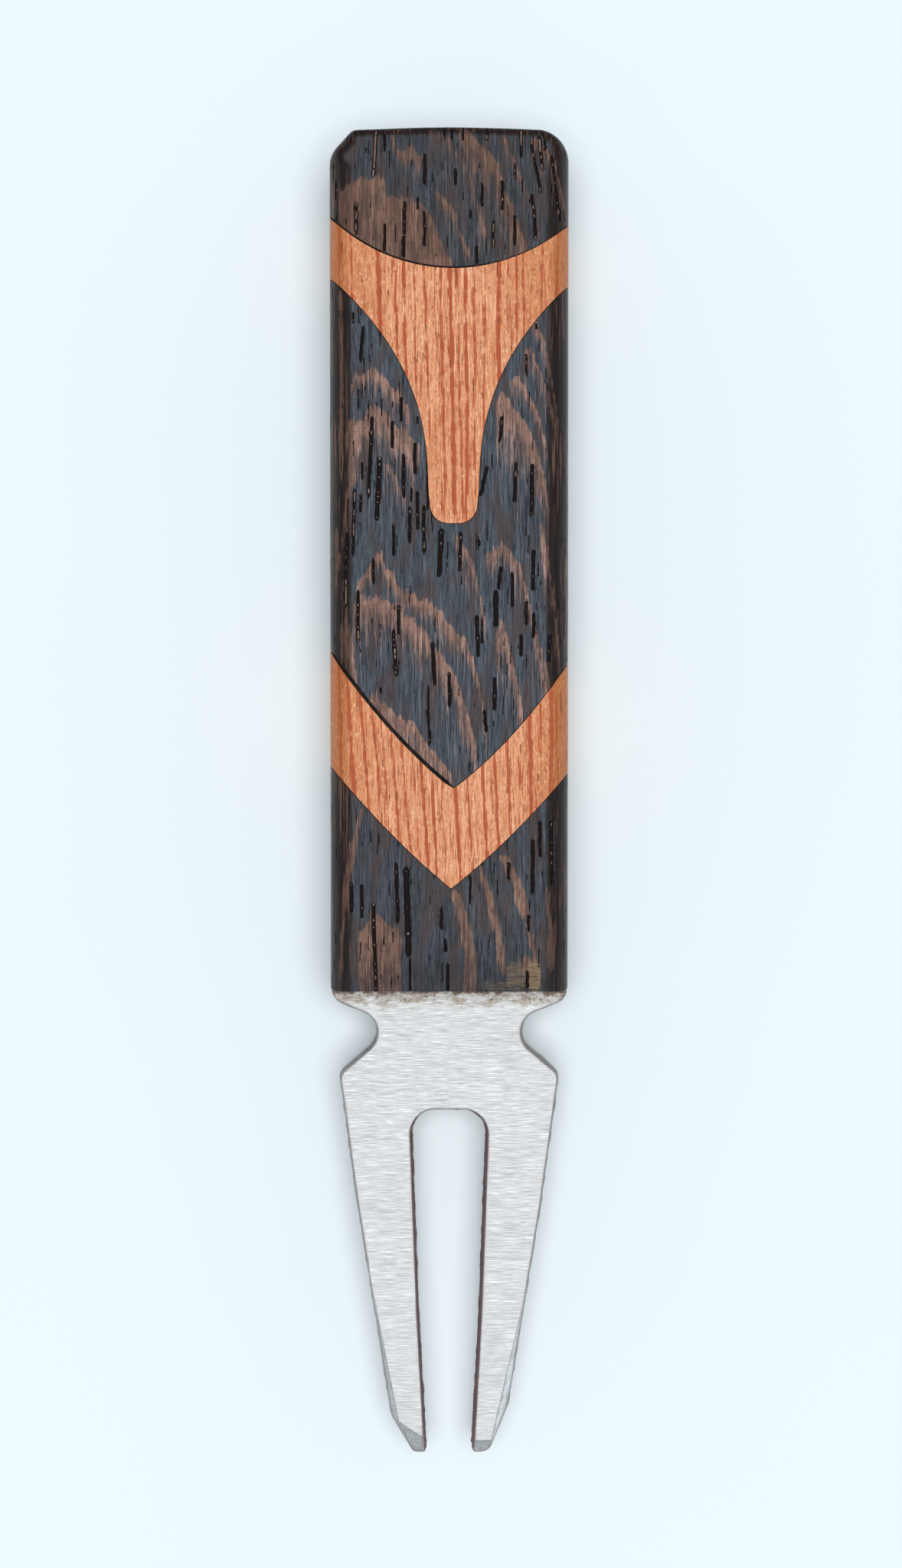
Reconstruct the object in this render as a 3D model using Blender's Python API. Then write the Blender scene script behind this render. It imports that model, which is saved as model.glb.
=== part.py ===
"""Divot repair tool. Metres, +Z up.

A stainless fork plate runs the whole length of the tool. Its tang lies between two wooden scales,
held by a glue film on each side. Each scale is marquetry through its full thickness: three dark
blocks, with a golf-tee inlay and a chevron inlay between them, edge-glued along four seams. Both
scales are slices of one glued-up blank, so their seams line up. Nothing on the tool moves.

The tool lies on its back scale. X runs across the handle, +Y from the tips of the fork to the end
of the handle, and +Z out of the front face. The origin is under the middle of the tool, on the
surface that it lies on.
"""

import math

import bmesh
import bpy
from mathutils import Matrix, Vector
from mathutils.geometry import interpolate_bezier

MM = 0.001

# Handle outline, seen from the front
HANDLE_LENGTH = 68.6 * MM
END_WIDTH = 19.05 * MM
BASE_WIDTH = 18.85 * MM
CROWN_RISE = 0.3 * MM
CROWN_RADIUS = 60.0 * MM

# Corners of the handle's end, each as (half width, station, radius). The left one is sanded almost to
# a chamfer. A station is a distance from the end of the handle.
LEFT_END_CORNERS = [(END_WIDTH / 2, 2.25 * MM, 2.0 * MM), (7.72 * MM, 0.245 * MM, 1.1 * MM)]
RIGHT_END_CORNER = (END_WIDTH / 2, CROWN_RISE, 2.6 * MM)

# Layers, from the back to the front
SCALE_THICKNESS = 4.6 * MM
PLATE_THICKNESS = 3.0 * MM
BOND_SPACE = 0.25 * MM
BOND_FILM = 0.15 * MM
BOND_INSET = 0.2 * MM

# Edges of a scale
SIDE_ROUND = 1.6 * MM
END_ROUND = 0.5 * MM
BASE_CORNER = 0.9 * MM
BASE_CORNER_OVERHANG = 0.3 * MM

# Seams between the marquetry pieces. A point of a seam is given as (x, station).
SEAM_SPACE = 0.3 * MM
SEAM_GLUE = 0.16 * MM
PAST_SIDE = 2.0 * MM

TEE_CENTRE_X = 0.36 * MM
TEE_DISH_STATION = 11.2 * MM
TEE_DISH_RADIUS = 13.9 * MM
TEE_DISH_HALF_ANGLE = math.radians(57)
TEE_FLARE_START = Vector((11.5, 10.66)) * MM
TEE_FLARE_HANDLE = Vector((0.6, 19.0)) * MM
TEE_STEM_HANDLE = Vector((2.42, 27.3)) * MM
TEE_STEM_END = Vector((1.9, 29.9)) * MM
TEE_TIP_STATION = 31.5 * MM
TEE_TIP_RADIUS = 1.5 * MM
TEE_POINTS = 22

CHEVRON_UPPER = {
    "left": Vector((-9.4, 41.6)) * MM,
    "point": Vector((0.38, 52.45)) * MM,
    "right": Vector((9.42, 42.6)) * MM,
    "bow": 0.8 * MM,
}
CHEVRON_LOWER = {
    "left": Vector((-9.4, 50.75)) * MM,
    "point": Vector((0.15, 60.45)) * MM,
    "right": Vector((9.44, 51.3)) * MM,
    "bow": 0.46 * MM,
}
ARM_POINTS = 9
ARM_REACH = 1.25

# Fork plate outline below the handle, each corner as (half width, distance below the handle, radius)
EXPOSED_LENGTH = 37.3 * MM
COLLAR_CORNER = (9.42 * MM, 0.86 * MM, 1.34 * MM)
NECK_CORNER = (4.1 * MM, 2.96 * MM, 1.78 * MM)
SHOULDER_CORNER = (8.77 * MM, 6.89 * MM, 1.0 * MM)
TAPER_CORNER = (7.3 * MM, 17.5 * MM, 60.0 * MM)
RIGHT_TIP_CORNERS = [(4.67 * MM, 33.6 * MM, 3.0 * MM), (3.15 * MM, EXPOSED_LENGTH, 1.0 * MM)]
LEFT_TIP_CORNERS = [(4.61 * MM, 34.35 * MM, 0.5 * MM), (2.87 * MM, EXPOSED_LENGTH, 0.35 * MM)]
SLOT_CORNERS = [
    (1.96 * MM, EXPOSED_LENGTH, 0.12 * MM),
    (2.57 * MM, 26.4 * MM, 20.0 * MM),
    (3.2 * MM, 9.7 * MM, 2.0 * MM),
]
CUT_DRAFT = 0.15 * MM

# Ground facets on the front of the tines, each as the line where it meets the flat face, given as
# two points (x, distance below the handle), and its slope
FACETS = {
    "left_edge_facet": ((-5.4 * MM, 27.8 * MM), (-4.28 * MM, 33.4 * MM), math.radians(50)),
    "left_tip_facet": ((-4.2 * MM, 34.62 * MM), (-1.0 * MM, 36.8 * MM), math.radians(36)),
    "right_edge_facet": ((3.55 * MM, 35.4 * MM), (5.22 * MM, 28.2 * MM), math.radians(50)),
    "right_tip_facet": ((2.0 * MM, 36.25 * MM), (3.5 * MM, 36.25 * MM), math.radians(38)),
}
FACET_REACH = 0.4 * MM
FACET_CUT = 3.0 * MM

ARC_STEP = math.radians(12)
ROUND_STEPS = 5
SMOOTH_ANGLE = math.radians(30)
CUTTER_MARGIN = 1.0 * MM

# Heights and stations that follow from the above
BACK_GLUE_Z = SCALE_THICKNESS
PLATE_LOW_Z = BACK_GLUE_Z + BOND_SPACE
PLATE_HIGH_Z = PLATE_LOW_Z + PLATE_THICKNESS
FRONT_GLUE_Z = PLATE_HIGH_Z + BOND_SPACE
END_Y = (HANDLE_LENGTH + EXPOSED_LENGTH + CUT_DRAFT) / 2
BASE_Y = END_Y - HANDLE_LENGTH

DARK_WOOD = ("dark_wood", (0.062, 0.047, 0.046), 0.55, 0.0)
ORANGE_WOOD = ("orange_wood", (0.60, 0.25, 0.11), 0.5, 0.0)
STEEL = ("brushed_steel", (0.66, 0.67, 0.69), 0.34, 1.0)
SEAM_EPOXY = ("black_epoxy", (0.012, 0.011, 0.011), 0.3, 0.0)
BOND_EPOXY = ("clear_epoxy", (0.55, 0.45, 0.28), 0.3, 0.0)


def clear_scene():
    for thing in list(bpy.data.objects):
        bpy.data.objects.remove(thing, do_unlink=True)


def material(look):
    name, colour, roughness, metallic = look
    found = bpy.data.materials.get(name)
    if found:
        return found
    made = bpy.data.materials.new(name)
    made.use_nodes = True
    shader = made.node_tree.nodes["Principled BSDF"]
    shader.inputs["Base Color"].default_value = (*colour, 1.0)
    shader.inputs["Roughness"].default_value = roughness
    shader.inputs["Metallic"].default_value = metallic
    return made


# Paths: lists of 2-D points


def corner_arc(before, corner, after, radius):
    """Points round the corner, on an arc that touches both of its sides."""
    back = (before - corner).normalized()
    ahead = (after - corner).normalized()
    half_angle = back.angle(ahead) / 2
    centre = corner + (back + ahead).normalized() * (radius / math.sin(half_angle))
    touch = corner + back * (radius / math.tan(half_angle)) - centre
    turn = math.pi - 2 * half_angle
    if back.x * ahead.y - back.y * ahead.x > 0:
        turn = -turn
    steps = max(2, math.ceil(abs(turn) / ARC_STEP))
    return [centre + Matrix.Rotation(turn * i / steps, 2) @ touch for i in range(steps + 1)]


def rounded_path(corners, closed):
    """Straight runs through the corners (x, y, radius), each corner rounded to its radius."""
    points = [Vector(corner[:2]) for corner in corners]
    path = []
    for i, (x, y, radius) in enumerate(corners):
        at_an_end = not closed and i in (0, len(corners) - 1)
        if radius == 0 or at_an_end:
            path.append(Vector((x, y)))
        else:
            path += corner_arc(points[i - 1], points[i], points[(i + 1) % len(points)], radius)
    return path


def outward_normals(path, closed):
    """The normal to the left of the path at each point, stretched at a corner to keep a shift's width."""
    normals = []
    last = len(path) - 1
    for i, point in enumerate(path):
        before = path[i - 1] if closed or i > 0 else point
        after = path[(i + 1) % len(path)] if closed or i < last else point
        arriving = (point - before).normalized()
        leaving = (after - point).normalized()
        sides = [Vector((-way.y, way.x)) for way in (arriving, leaving) if way.length > 0]
        middle = sum(sides, Vector((0, 0))).normalized()
        normals.append(middle / middle.dot(sides[0]))
    return normals


def shifted(path, distance, closed=False):
    """The path moved to its left by the distance."""
    normals = outward_normals(path, closed)
    return [point + normal * distance for point, normal in zip(path, normals)]


def mirrored(path):
    """The path mirrored across X = 0 and reversed, so that it still runs the same way round."""
    return [Vector((-point.x, point.y)) for point in reversed(path)]


def at_station(point):
    """A point given as (x, distance from the end of the handle), in the tool's frame."""
    return Vector((point[0], END_Y - point[1]))


# Meshes and objects


def mesh_from(name, bm, look):
    bmesh.ops.recalc_face_normals(bm, faces=bm.faces)
    mesh = bpy.data.meshes.new(name)
    bm.to_mesh(mesh)
    bm.free()
    mesh.shade_smooth()
    mesh.set_sharp_from_angle(angle=SMOOTH_ANGLE)
    if look:
        mesh.materials.append(material(look))
    return mesh


def slab(name, lower, upper, low, high, look=None):
    """A plate whose outline is lower at height low and upper at height high."""
    bm = bmesh.new()
    bottom = [bm.verts.new((*point, low)) for point in lower]
    top = [bm.verts.new((*point, high)) for point in upper]
    bm.faces.new(bottom)
    bm.faces.new(top)
    for i, corner in enumerate(bottom):
        following = (i + 1) % len(bottom)
        bm.faces.new((corner, bottom[following], top[following], top[i]))
    return mesh_from(name, bm, look)


def add_object(name, mesh):
    made = bpy.data.objects.new(name, mesh)
    bpy.context.scene.collection.objects.link(made)
    return made


def add_cutter(name, mesh):
    made = add_object(name, mesh)
    made.hide_render = True
    made.display_type = "WIRE"
    return made


def add_boolean(target, operation, cutter):
    modifier = target.modifiers.new(cutter.name, "BOOLEAN")
    modifier.operation = operation
    modifier.solver = "EXACT"
    modifier.object = cutter


# Handle


def end_corners():
    """Corners of the handle's end in the tool's frame, left to right."""
    left = [(-half, END_Y - station, radius) for half, station, radius in LEFT_END_CORNERS]
    half, station, radius = RIGHT_END_CORNER
    return left + [(0, END_Y, CROWN_RADIUS), (half, END_Y - station, radius)]


def handle_side_path(base_y):
    """The handle's outline as an open path: up its left side, over the end and down its right side."""
    base_half = BASE_WIDTH / 2
    corners = [(-base_half, base_y, 0), *end_corners(), (base_half, base_y, 0)]
    return rounded_path(corners, closed=False)


def edge_round(normal):
    """Radius of the rounded front edge for this outward direction: large on the sides, small at the end."""
    return SIDE_ROUND + (END_ROUND - SIDE_ROUND) * max(0.0, normal.normalized().y)


def scale_blank(glue_z, facing):
    """One whole scale before it is divided, out from its glue side, running past the handle's base."""
    path = handle_side_path(BASE_Y - CUTTER_MARGIN)
    normals = outward_normals(path, closed=False)
    bm = bmesh.new()
    rings = [[bm.verts.new((*point, glue_z)) for point in path]]
    for step in range(ROUND_STEPS + 1):
        angle = math.pi / 2 * step / ROUND_STEPS
        ring = []
        for point, normal in zip(path, normals):
            radius = edge_round(normal)
            inward = point - normal * radius * (1 - math.cos(angle))
            height = SCALE_THICKNESS - radius * (1 - math.sin(angle))
            ring.append(bm.verts.new((*inward, glue_z + facing * height)))
        rings.append(ring)
    for lower, upper in zip(rings, rings[1:]):
        for i in range(len(path) - 1):
            bm.faces.new((lower[i], lower[i + 1], upper[i + 1], upper[i]))
    bm.faces.new(rings[0])
    bm.faces.new(rings[-1])
    bm.faces.new([ring[0] for ring in rings] + [ring[-1] for ring in reversed(rings)])
    return bm


def tee_top_seam():
    """The dished top of the tee: an arc from the left side of the handle to the right."""
    centre = at_station((TEE_CENTRE_X, TEE_DISH_STATION - TEE_DISH_RADIUS))
    steps = math.ceil(2 * TEE_DISH_HALF_ANGLE / ARC_STEP) * 2
    path = []
    for i in range(steps + 1):
        angle = -TEE_DISH_HALF_ANGLE + 2 * TEE_DISH_HALF_ANGLE * i / steps
        path.append(centre + TEE_DISH_RADIUS * Vector((math.sin(angle), -math.cos(angle))))
    return path


def tee_lower_seam():
    """Under the tee's flared head, down its stem, round its tip and up again."""
    curve = (TEE_STEM_END, TEE_STEM_HANDLE, TEE_FLARE_HANDLE, TEE_FLARE_START)
    right_flare = interpolate_bezier(*[at_station(point) for point in curve], TEE_POINTS)
    stem = right_flare[0]
    tip_y = END_Y - TEE_TIP_STATION
    tip_corners = [
        (-stem.x, stem.y, 0),
        (-stem.x, tip_y, TEE_TIP_RADIUS),
        (stem.x, tip_y, TEE_TIP_RADIUS),
        (stem.x, stem.y, 0),
    ]
    tip = rounded_path(tip_corners, closed=False)
    path = mirrored(right_flare)[:-1] + tip + right_flare[1:]
    return [point + Vector((TEE_CENTRE_X, 0)) for point in path]


def chevron_arm(point, side, bow):
    """From the chevron's point out past the side of the handle, bowed towards the base."""
    arm = []
    for i in range(1, ARM_POINTS + 1):
        along = ARM_REACH * i / ARM_POINTS
        straight = point.lerp(side, along) if along <= 1 else point + (side - point) * along
        arm.append(at_station(straight + Vector((0, 4 * bow * along * (1 - along)))))
    return arm


def chevron_seam(shape):
    left = chevron_arm(shape["point"], shape["left"], shape["bow"])
    right = chevron_arm(shape["point"], shape["right"], shape["bow"])
    return left[::-1] + [at_station(shape["point"])] + right


def end_boundary():
    """A straight line past the end of the handle."""
    reach = END_WIDTH / 2 + PAST_SIDE
    return [Vector((-reach, END_Y + CUTTER_MARGIN)), Vector((reach, END_Y + CUTTER_MARGIN))]


def base_boundary():
    """The base of the handle, turned up at both sides to round its corners."""
    reach = BASE_WIDTH / 2 + BASE_CORNER_OVERHANG
    top = BASE_Y + 2 * BASE_CORNER
    return rounded_path(
        [(-reach, top, 0), (-reach, BASE_Y, BASE_CORNER), (reach, BASE_Y, BASE_CORNER), (reach, top, 0)],
        closed=False,
    )


def between(upper, lower):
    """The closed outline between two boundaries that both run left to right."""
    return lower + upper[::-1]


def scale_pieces():
    """Each piece of a scale as (name, outline, look), from the end of the handle to its base."""
    seams = {
        "crown_seam": tee_top_seam(),
        "tee_seam": tee_lower_seam(),
        "chevron_upper_seam": chevron_seam(CHEVRON_UPPER),
        "chevron_lower_seam": chevron_seam(CHEVRON_LOWER),
    }
    blocks = [
        ("crown_block", DARK_WOOD),
        ("tee_inlay", ORANGE_WOOD),
        ("middle_block", DARK_WOOD),
        ("chevron_inlay", ORANGE_WOOD),
        ("base_block", DARK_WOOD),
    ]
    uppers = [end_boundary()] + [shifted(seam, -SEAM_SPACE / 2) for seam in seams.values()]
    lowers = [shifted(seam, SEAM_SPACE / 2) for seam in seams.values()] + [base_boundary()]
    pieces = []
    for (name, look), upper, lower in zip(blocks, uppers, lowers):
        pieces.append((name, between(upper, lower), look))
    for name, seam in seams.items():
        strip = between(shifted(seam, SEAM_GLUE / 2), shifted(seam, -SEAM_GLUE / 2))
        pieces.append((name + "_glue", strip, SEAM_EPOXY))
    return pieces


def add_scale(side, glue_z, facing):
    """One scale, its glue side at glue_z, facing +Z (1) or -Z (-1). The seams of both line up."""
    under = glue_z - facing * CUTTER_MARGIN
    over = glue_z + facing * (SCALE_THICKNESS + CUTTER_MARGIN)
    for name, outline, look in scale_pieces():
        node_name = f"{side}_{name}"
        piece = add_object(node_name, mesh_from(node_name, scale_blank(glue_z, facing), look))
        cutter_name = node_name + "_outline"
        cutter = add_cutter(cutter_name, slab(cutter_name, outline, outline, under, over))
        add_boolean(piece, "INTERSECT", cutter)


# Fork plate


def half_profile(tip_corners):
    """Corners of the plate's x > 0 half below the handle, from the collar round the tip and up the slot."""
    return [COLLAR_CORNER, NECK_CORNER, SHOULDER_CORNER, TAPER_CORNER, *tip_corners, *SLOT_CORNERS]


def plate_outline():
    """The whole plate as a closed path: the tang's outline, then both halves of the fork."""
    right = [(x, BASE_Y - below, radius) for x, below, radius in half_profile(RIGHT_TIP_CORNERS)]
    left = [(-x, BASE_Y - below, radius) for x, below, radius in half_profile(LEFT_TIP_CORNERS)]
    return rounded_path(end_corners() + right + left[::-1], closed=True)


def cut_draft(outline):
    """The outline on the plate's back, which the cut leaves a little larger outside the handle."""
    grown = shifted(outline, CUT_DRAFT, closed=True)
    return [wide if point.y < BASE_Y else point for point, wide in zip(outline, grown)]


def facet_cutter(name, start, end, slope):
    """A slab whose underside is a facet's plane, which falls away to the right of the line start to end."""
    a, b = (Vector((x, BASE_Y - below, PLATE_HIGH_Z)) for x, below in (start, end))
    along = (b - a).normalized()
    a -= along * FACET_REACH
    b += along * FACET_REACH
    across = Vector((along.y, -along.x, 0))
    down = across * math.cos(slope) - Vector((0, 0, math.sin(slope)))
    up = across * math.sin(slope) + Vector((0, 0, math.cos(slope)))
    section = (-FACET_REACH * down, FACET_CUT * down, FACET_CUT * (down + up), FACET_CUT * up)
    bm = bmesh.new()
    near, far = ([bm.verts.new(place + offset) for offset in section] for place in (a, b))
    bm.faces.new(near)
    bm.faces.new(far)
    for i, corner in enumerate(near):
        following = (i + 1) % len(near)
        bm.faces.new((corner, near[following], far[following], far[i]))
    return add_cutter(name, mesh_from(name, bm, None))


def add_fork_plate():
    outline = plate_outline()
    mesh = slab("fork_plate", cut_draft(outline), outline, PLATE_LOW_Z, PLATE_HIGH_Z, STEEL)
    plate = add_object("fork_plate", mesh)
    for name, (start, end, slope) in FACETS.items():
        add_boolean(plate, "DIFFERENCE", facet_cutter(name, start, end, slope))


def add_bond_film(side, low):
    """The glue between the tang and one scale, a little inside the edge of the handle."""
    name = side + "_bond_film"
    outline = shifted(handle_side_path(BASE_Y), -BOND_INSET, closed=True)
    add_object(name, slab(name, outline, outline, low, low + BOND_FILM, BOND_EPOXY))


def main():
    clear_scene()
    add_fork_plate()
    add_scale("front", FRONT_GLUE_Z, 1)
    add_scale("back", BACK_GLUE_Z, -1)
    film_gap = (BOND_SPACE - BOND_FILM) / 2
    add_bond_film("front", PLATE_HIGH_Z + film_gap)
    add_bond_film("back", BACK_GLUE_Z + film_gap)


main()
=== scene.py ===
"""Divot repair tool, seen from straight above its front.

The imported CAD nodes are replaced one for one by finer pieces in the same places. Shapes are worked
out in millimetres and turned into metres when a mesh is made. A station is a distance from the end
of the handle towards the fork, and "below" is a distance from the handle's base towards the tips.

The outside of a wooden scale is drawn on a flat sheet, the wrap: its middle is the flat front, and
its borders fold down over the rounded edges and the side walls. Seams, pores and figure are drawn
on the wrap, which is cut into triangles there and then folded into place.
"""

import math

import bpy
import numpy as np
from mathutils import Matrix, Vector
from mathutils.geometry import delaunay_2d_cdt, interpolate_bezier


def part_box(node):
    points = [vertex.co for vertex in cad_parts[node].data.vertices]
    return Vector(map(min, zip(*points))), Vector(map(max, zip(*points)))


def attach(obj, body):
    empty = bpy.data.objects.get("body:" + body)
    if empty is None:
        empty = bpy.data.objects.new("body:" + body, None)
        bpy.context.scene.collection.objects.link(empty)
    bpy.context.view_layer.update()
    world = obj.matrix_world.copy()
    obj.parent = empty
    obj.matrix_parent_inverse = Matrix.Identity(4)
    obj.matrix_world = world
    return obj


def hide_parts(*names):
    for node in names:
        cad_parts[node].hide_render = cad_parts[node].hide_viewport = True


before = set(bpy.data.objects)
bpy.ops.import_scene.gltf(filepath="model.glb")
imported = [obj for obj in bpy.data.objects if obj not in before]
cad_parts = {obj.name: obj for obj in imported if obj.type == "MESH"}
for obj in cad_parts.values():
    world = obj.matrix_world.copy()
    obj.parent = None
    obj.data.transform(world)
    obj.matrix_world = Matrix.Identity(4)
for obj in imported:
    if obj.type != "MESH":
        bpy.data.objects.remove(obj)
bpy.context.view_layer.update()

MM = 0.001


def box_mm(node):
    """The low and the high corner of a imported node, in millimetres."""
    low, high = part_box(node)
    return np.array(low) / MM, np.array(high) / MM


PLATE_BOX = box_mm("fork_plate")
CROWN_BOX = box_mm("front_crown_block")
BASE_BOX = box_mm("front_base_block")
BACK_BOX = box_mm("back_crown_block")

END_Y = CROWN_BOX[1][1]
BASE_Y = BASE_BOX[0][1]
PLATE_LOW_Z = PLATE_BOX[0][2]
PLATE_HIGH_Z = PLATE_BOX[1][2]
FRONT_GLUE_Z = CROWN_BOX[0][2]
BACK_GLUE_Z = BACK_BOX[1][2]
THICK = CROWN_BOX[1][2] - CROWN_BOX[0][2]

# Handle outline and edges. The corners of its end are given as (half width, station, radius).
END_HALF = 19.05 / 2
BASE_HALF = 18.85 / 2
CROWN_RISE = 0.3
CROWN_RADIUS = 60.0
LEFT_END_CORNERS = [(END_HALF, 2.25, 2.0), (7.72, 0.245, 1.1)]
RIGHT_END_CORNER = (END_HALF, CROWN_RISE, 2.6)
SIDE_ROUND = 1.6
END_ROUND = 0.5
BASE_CORNER = 0.9
BASE_CORNER_OVERHANG = 0.3

# The grid that the wrap's surface detail is drawn on. A plain area keeps every KEEP_X-th column of it
# and every KEEP_Y-th row.
WRAP_HALF = 15.5
FINE_X = 0.05
FINE_Y = 0.11
KEEP_X = 3
KEEP_Y = 2

# Only wrap points this near to the flat's side borders or to the handle's end are looked at for folding.
# The others lie flat, and count as this far past the flat's border.
SIDE_MARGIN = 1
END_MARGIN = 3.5
FAR_FROM_EDGE = -9.0

# How finely arcs and the lines down the side walls are divided
ARC_STEP = math.radians(2)
WALL_LINE_POINTS = 14

# How many points are compared with a whole outline at once, which limits the memory that it takes
POINTS_AT_ONCE = 2000

# How much wider than their list entries pores are cut, and how much longer flames reach
PORE_WIDENING = 1.35
FLAME_LENGTHENING = 1.25


# Paths, as arrays of points


def rounded_path(corners, closed):
    """A path through corners given as (x, y, radius), each rounded by its radius."""
    points = np.array([corner[:2] for corner in corners], dtype=float)
    path = []
    count = len(corners)
    for i, (x, y, radius) in enumerate(corners):
        here = points[i]
        if radius == 0 or (not closed and i in (0, count - 1)):
            path.append(here)
            continue
        back = points[i - 1] - here
        ahead = points[(i + 1) % count] - here
        back /= np.linalg.norm(back)
        ahead /= np.linalg.norm(ahead)
        turn = math.pi - math.acos(np.clip(back @ ahead, -1, 1))
        if turn < 1e-4:
            path.append(here)
            continue
        cut = radius * math.tan(turn / 2)
        middle = (back + ahead) / np.linalg.norm(back + ahead)
        centre = here + middle * radius / math.cos(turn / 2)
        start = here + back * cut - centre
        steps = max(2, math.ceil(turn / ARC_STEP))
        side = math.copysign(1, -back[0] * ahead[1] + back[1] * ahead[0])
        for angle in np.linspace(0, turn * side, steps + 1):
            c, s = math.cos(angle), math.sin(angle)
            path.append(centre + np.array([c * start[0] - s * start[1], s * start[0] + c * start[1]]))
    return np.array(path)


def resampled(path, spacing, closed=False):
    """The same path through points at an even spacing."""
    if closed:
        path = np.vstack([path, path[:1]])
    lengths = np.r_[0, np.cumsum(np.linalg.norm(np.diff(path, axis=0), axis=1))]
    count = max(2, int(round(lengths[-1] / spacing)) + 1)
    at = np.linspace(0, lengths[-1], count)
    made = np.c_[np.interp(at, lengths, path[:, 0]), np.interp(at, lengths, path[:, 1])]
    return made[:-1] if closed else made


def left_normals(path, closed=False):
    """Unit normals to the left of the direction of travel."""
    if closed:
        along = np.roll(path, -1, axis=0) - np.roll(path, 1, axis=0)
    else:
        along = np.gradient(path, axis=0)
    along /= np.linalg.norm(along, axis=1)[:, None]
    return np.c_[-along[:, 1], along[:, 0]]


def at_station(points):
    """Plan points from (x, station) pairs."""
    points = np.asarray(points, dtype=float)
    return np.c_[points[:, 0], END_Y - points[:, 1]]


def smooth_step(value):
    value = np.clip(value, 0, 1)
    return value * value * (3 - 2 * value)


# The outline that the wrap folds over


def end_corners():
    """Corners of the handle's end, left to right. The left one is sanded almost to a chamfer."""
    left = [(-half, END_Y - station, radius) for half, station, radius in LEFT_END_CORNERS]
    half, station, radius = RIGHT_END_CORNER
    return left + [(0, END_Y, CROWN_RADIUS), (half, END_Y - station, radius)]


OUTLINE = rounded_path(
    [(-BASE_HALF, BASE_Y - 3, 0), *end_corners(), (BASE_HALF, BASE_Y - 3, 0)],
    closed=False,
)
OUTLINE_NORMALS = left_normals(OUTLINE)
OUTLINE_LENGTHS = np.r_[0, np.cumsum(np.linalg.norm(np.diff(OUTLINE, axis=0), axis=1))]


def edge_round(normals):
    """The radius that the edge is rounded to, where the outline faces this way."""
    return SIDE_ROUND + (END_ROUND - SIDE_ROUND) * np.clip(normals[:, 1], 0, 1)


def outline_at(lengths):
    """Points, outward normals and edge radii at these lengths along the outline."""
    lengths = np.atleast_1d(lengths)
    points = np.c_[[np.interp(lengths, OUTLINE_LENGTHS, OUTLINE[:, k]) for k in (0, 1)]].T
    normals = np.c_[[np.interp(lengths, OUTLINE_LENGTHS, OUTLINE_NORMALS[:, k]) for k in (0, 1)]].T
    normals /= np.linalg.norm(normals, axis=1)[:, None]
    return points, normals, edge_round(normals)


def foot_on_outline(points):
    """The length along the outline of each point's nearest place on it, and how far outside it lies."""
    starts = OUTLINE[:-1]
    along = np.diff(OUTLINE, axis=0)
    squares = (along**2).sum(1)
    lengths = np.empty(len(points))
    outside = np.empty(len(points))
    for first in range(0, len(points), POINTS_AT_ONCE):
        some = points[first : first + POINTS_AT_ONCE]
        offset_x = some[:, None, 0] - starts[None, :, 0]
        offset_y = some[:, None, 1] - starts[None, :, 1]
        part = np.clip((offset_x * along[:, 0] + offset_y * along[:, 1]) / squares, 0, 1)
        gap_x = offset_x - part * along[:, 0]
        gap_y = offset_y - part * along[:, 1]
        gaps = gap_x**2 + gap_y**2
        best = gaps.argmin(1)
        rows = np.arange(len(some))
        reach = np.diff(OUTLINE_LENGTHS)[best]
        lengths[first : first + POINTS_AT_ONCE] = OUTLINE_LENGTHS[best] + part[rows, best] * reach
        turn = along[best, 0] * gap_y[rows, best] - along[best, 1] * gap_x[rows, best]
        outside[first : first + POINTS_AT_ONCE] = np.sqrt(gaps[rows, best]) * np.sign(turn)
    return lengths, outside


def fold(points):
    """Folds wrap points onto a scale whose glue side is z = 0: places, normals, and lengths past the flat."""
    places = np.c_[points, np.full(len(points), THICK)]
    normals = np.tile([0.0, 0.0, 1.0], (len(points), 1))
    past = np.full(len(points), FAR_FROM_EDGE)
    near_side = np.abs(points[:, 0]) > BASE_HALF - SIDE_ROUND - SIDE_MARGIN
    where = np.flatnonzero(near_side | (points[:, 1] > END_Y - END_MARGIN))
    lengths, outside = foot_on_outline(points[where])
    foot, out, radius = outline_at(lengths)
    travel = outside + radius
    past[where] = travel
    bent = travel > 0
    where, foot, out, radius, travel = (a[bent] for a in (where, foot, out, radius, travel))
    angle = np.minimum(travel / radius, math.pi / 2)
    drop = np.maximum(travel - radius * math.pi / 2, 0)
    inner = foot - out * radius[:, None]
    places[where, :2] = inner + out * (radius * np.sin(angle))[:, None]
    places[where, 2] = THICK - radius * (1 - np.cos(angle)) - drop
    normals[where] = np.c_[out * np.sin(angle)[:, None], np.cos(angle)]
    return places, normals, past


def unfold(points):
    """Wrap points that fold onto these plan points, which lie inside the outline."""
    points = np.asarray(points, dtype=float)
    lengths, outside = foot_on_outline(points)
    foot, out, radius = outline_at(lengths)
    reach = np.clip((outside + radius) / radius, 0, 1)
    travel = radius * np.arcsin(reach)
    wrapped = foot + out * (travel - radius)[:, None]
    return np.where((outside > -radius)[:, None], wrapped, points)


def wall_line(length):
    """Wrap points from the top of the side wall to the glue side, at one place along the outline."""
    foot, out, radius = outline_at(length)
    travel = radius[0] * math.pi / 2 + np.linspace(0, THICK - radius[0], WALL_LINE_POINTS)
    return foot + out * (travel - radius[0])[:, None]


def wall_foot(start, end):
    """Wrap points along the glue side's edge between two lengths of the outline, ends left out."""
    count = max(3, int(abs(end - start) / 0.25))
    foot, out, radius = outline_at(np.linspace(start, end, count)[1:-1])
    travel = radius * math.pi / 2 + THICK - radius
    return foot + out * (travel - radius)[:, None]


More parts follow.
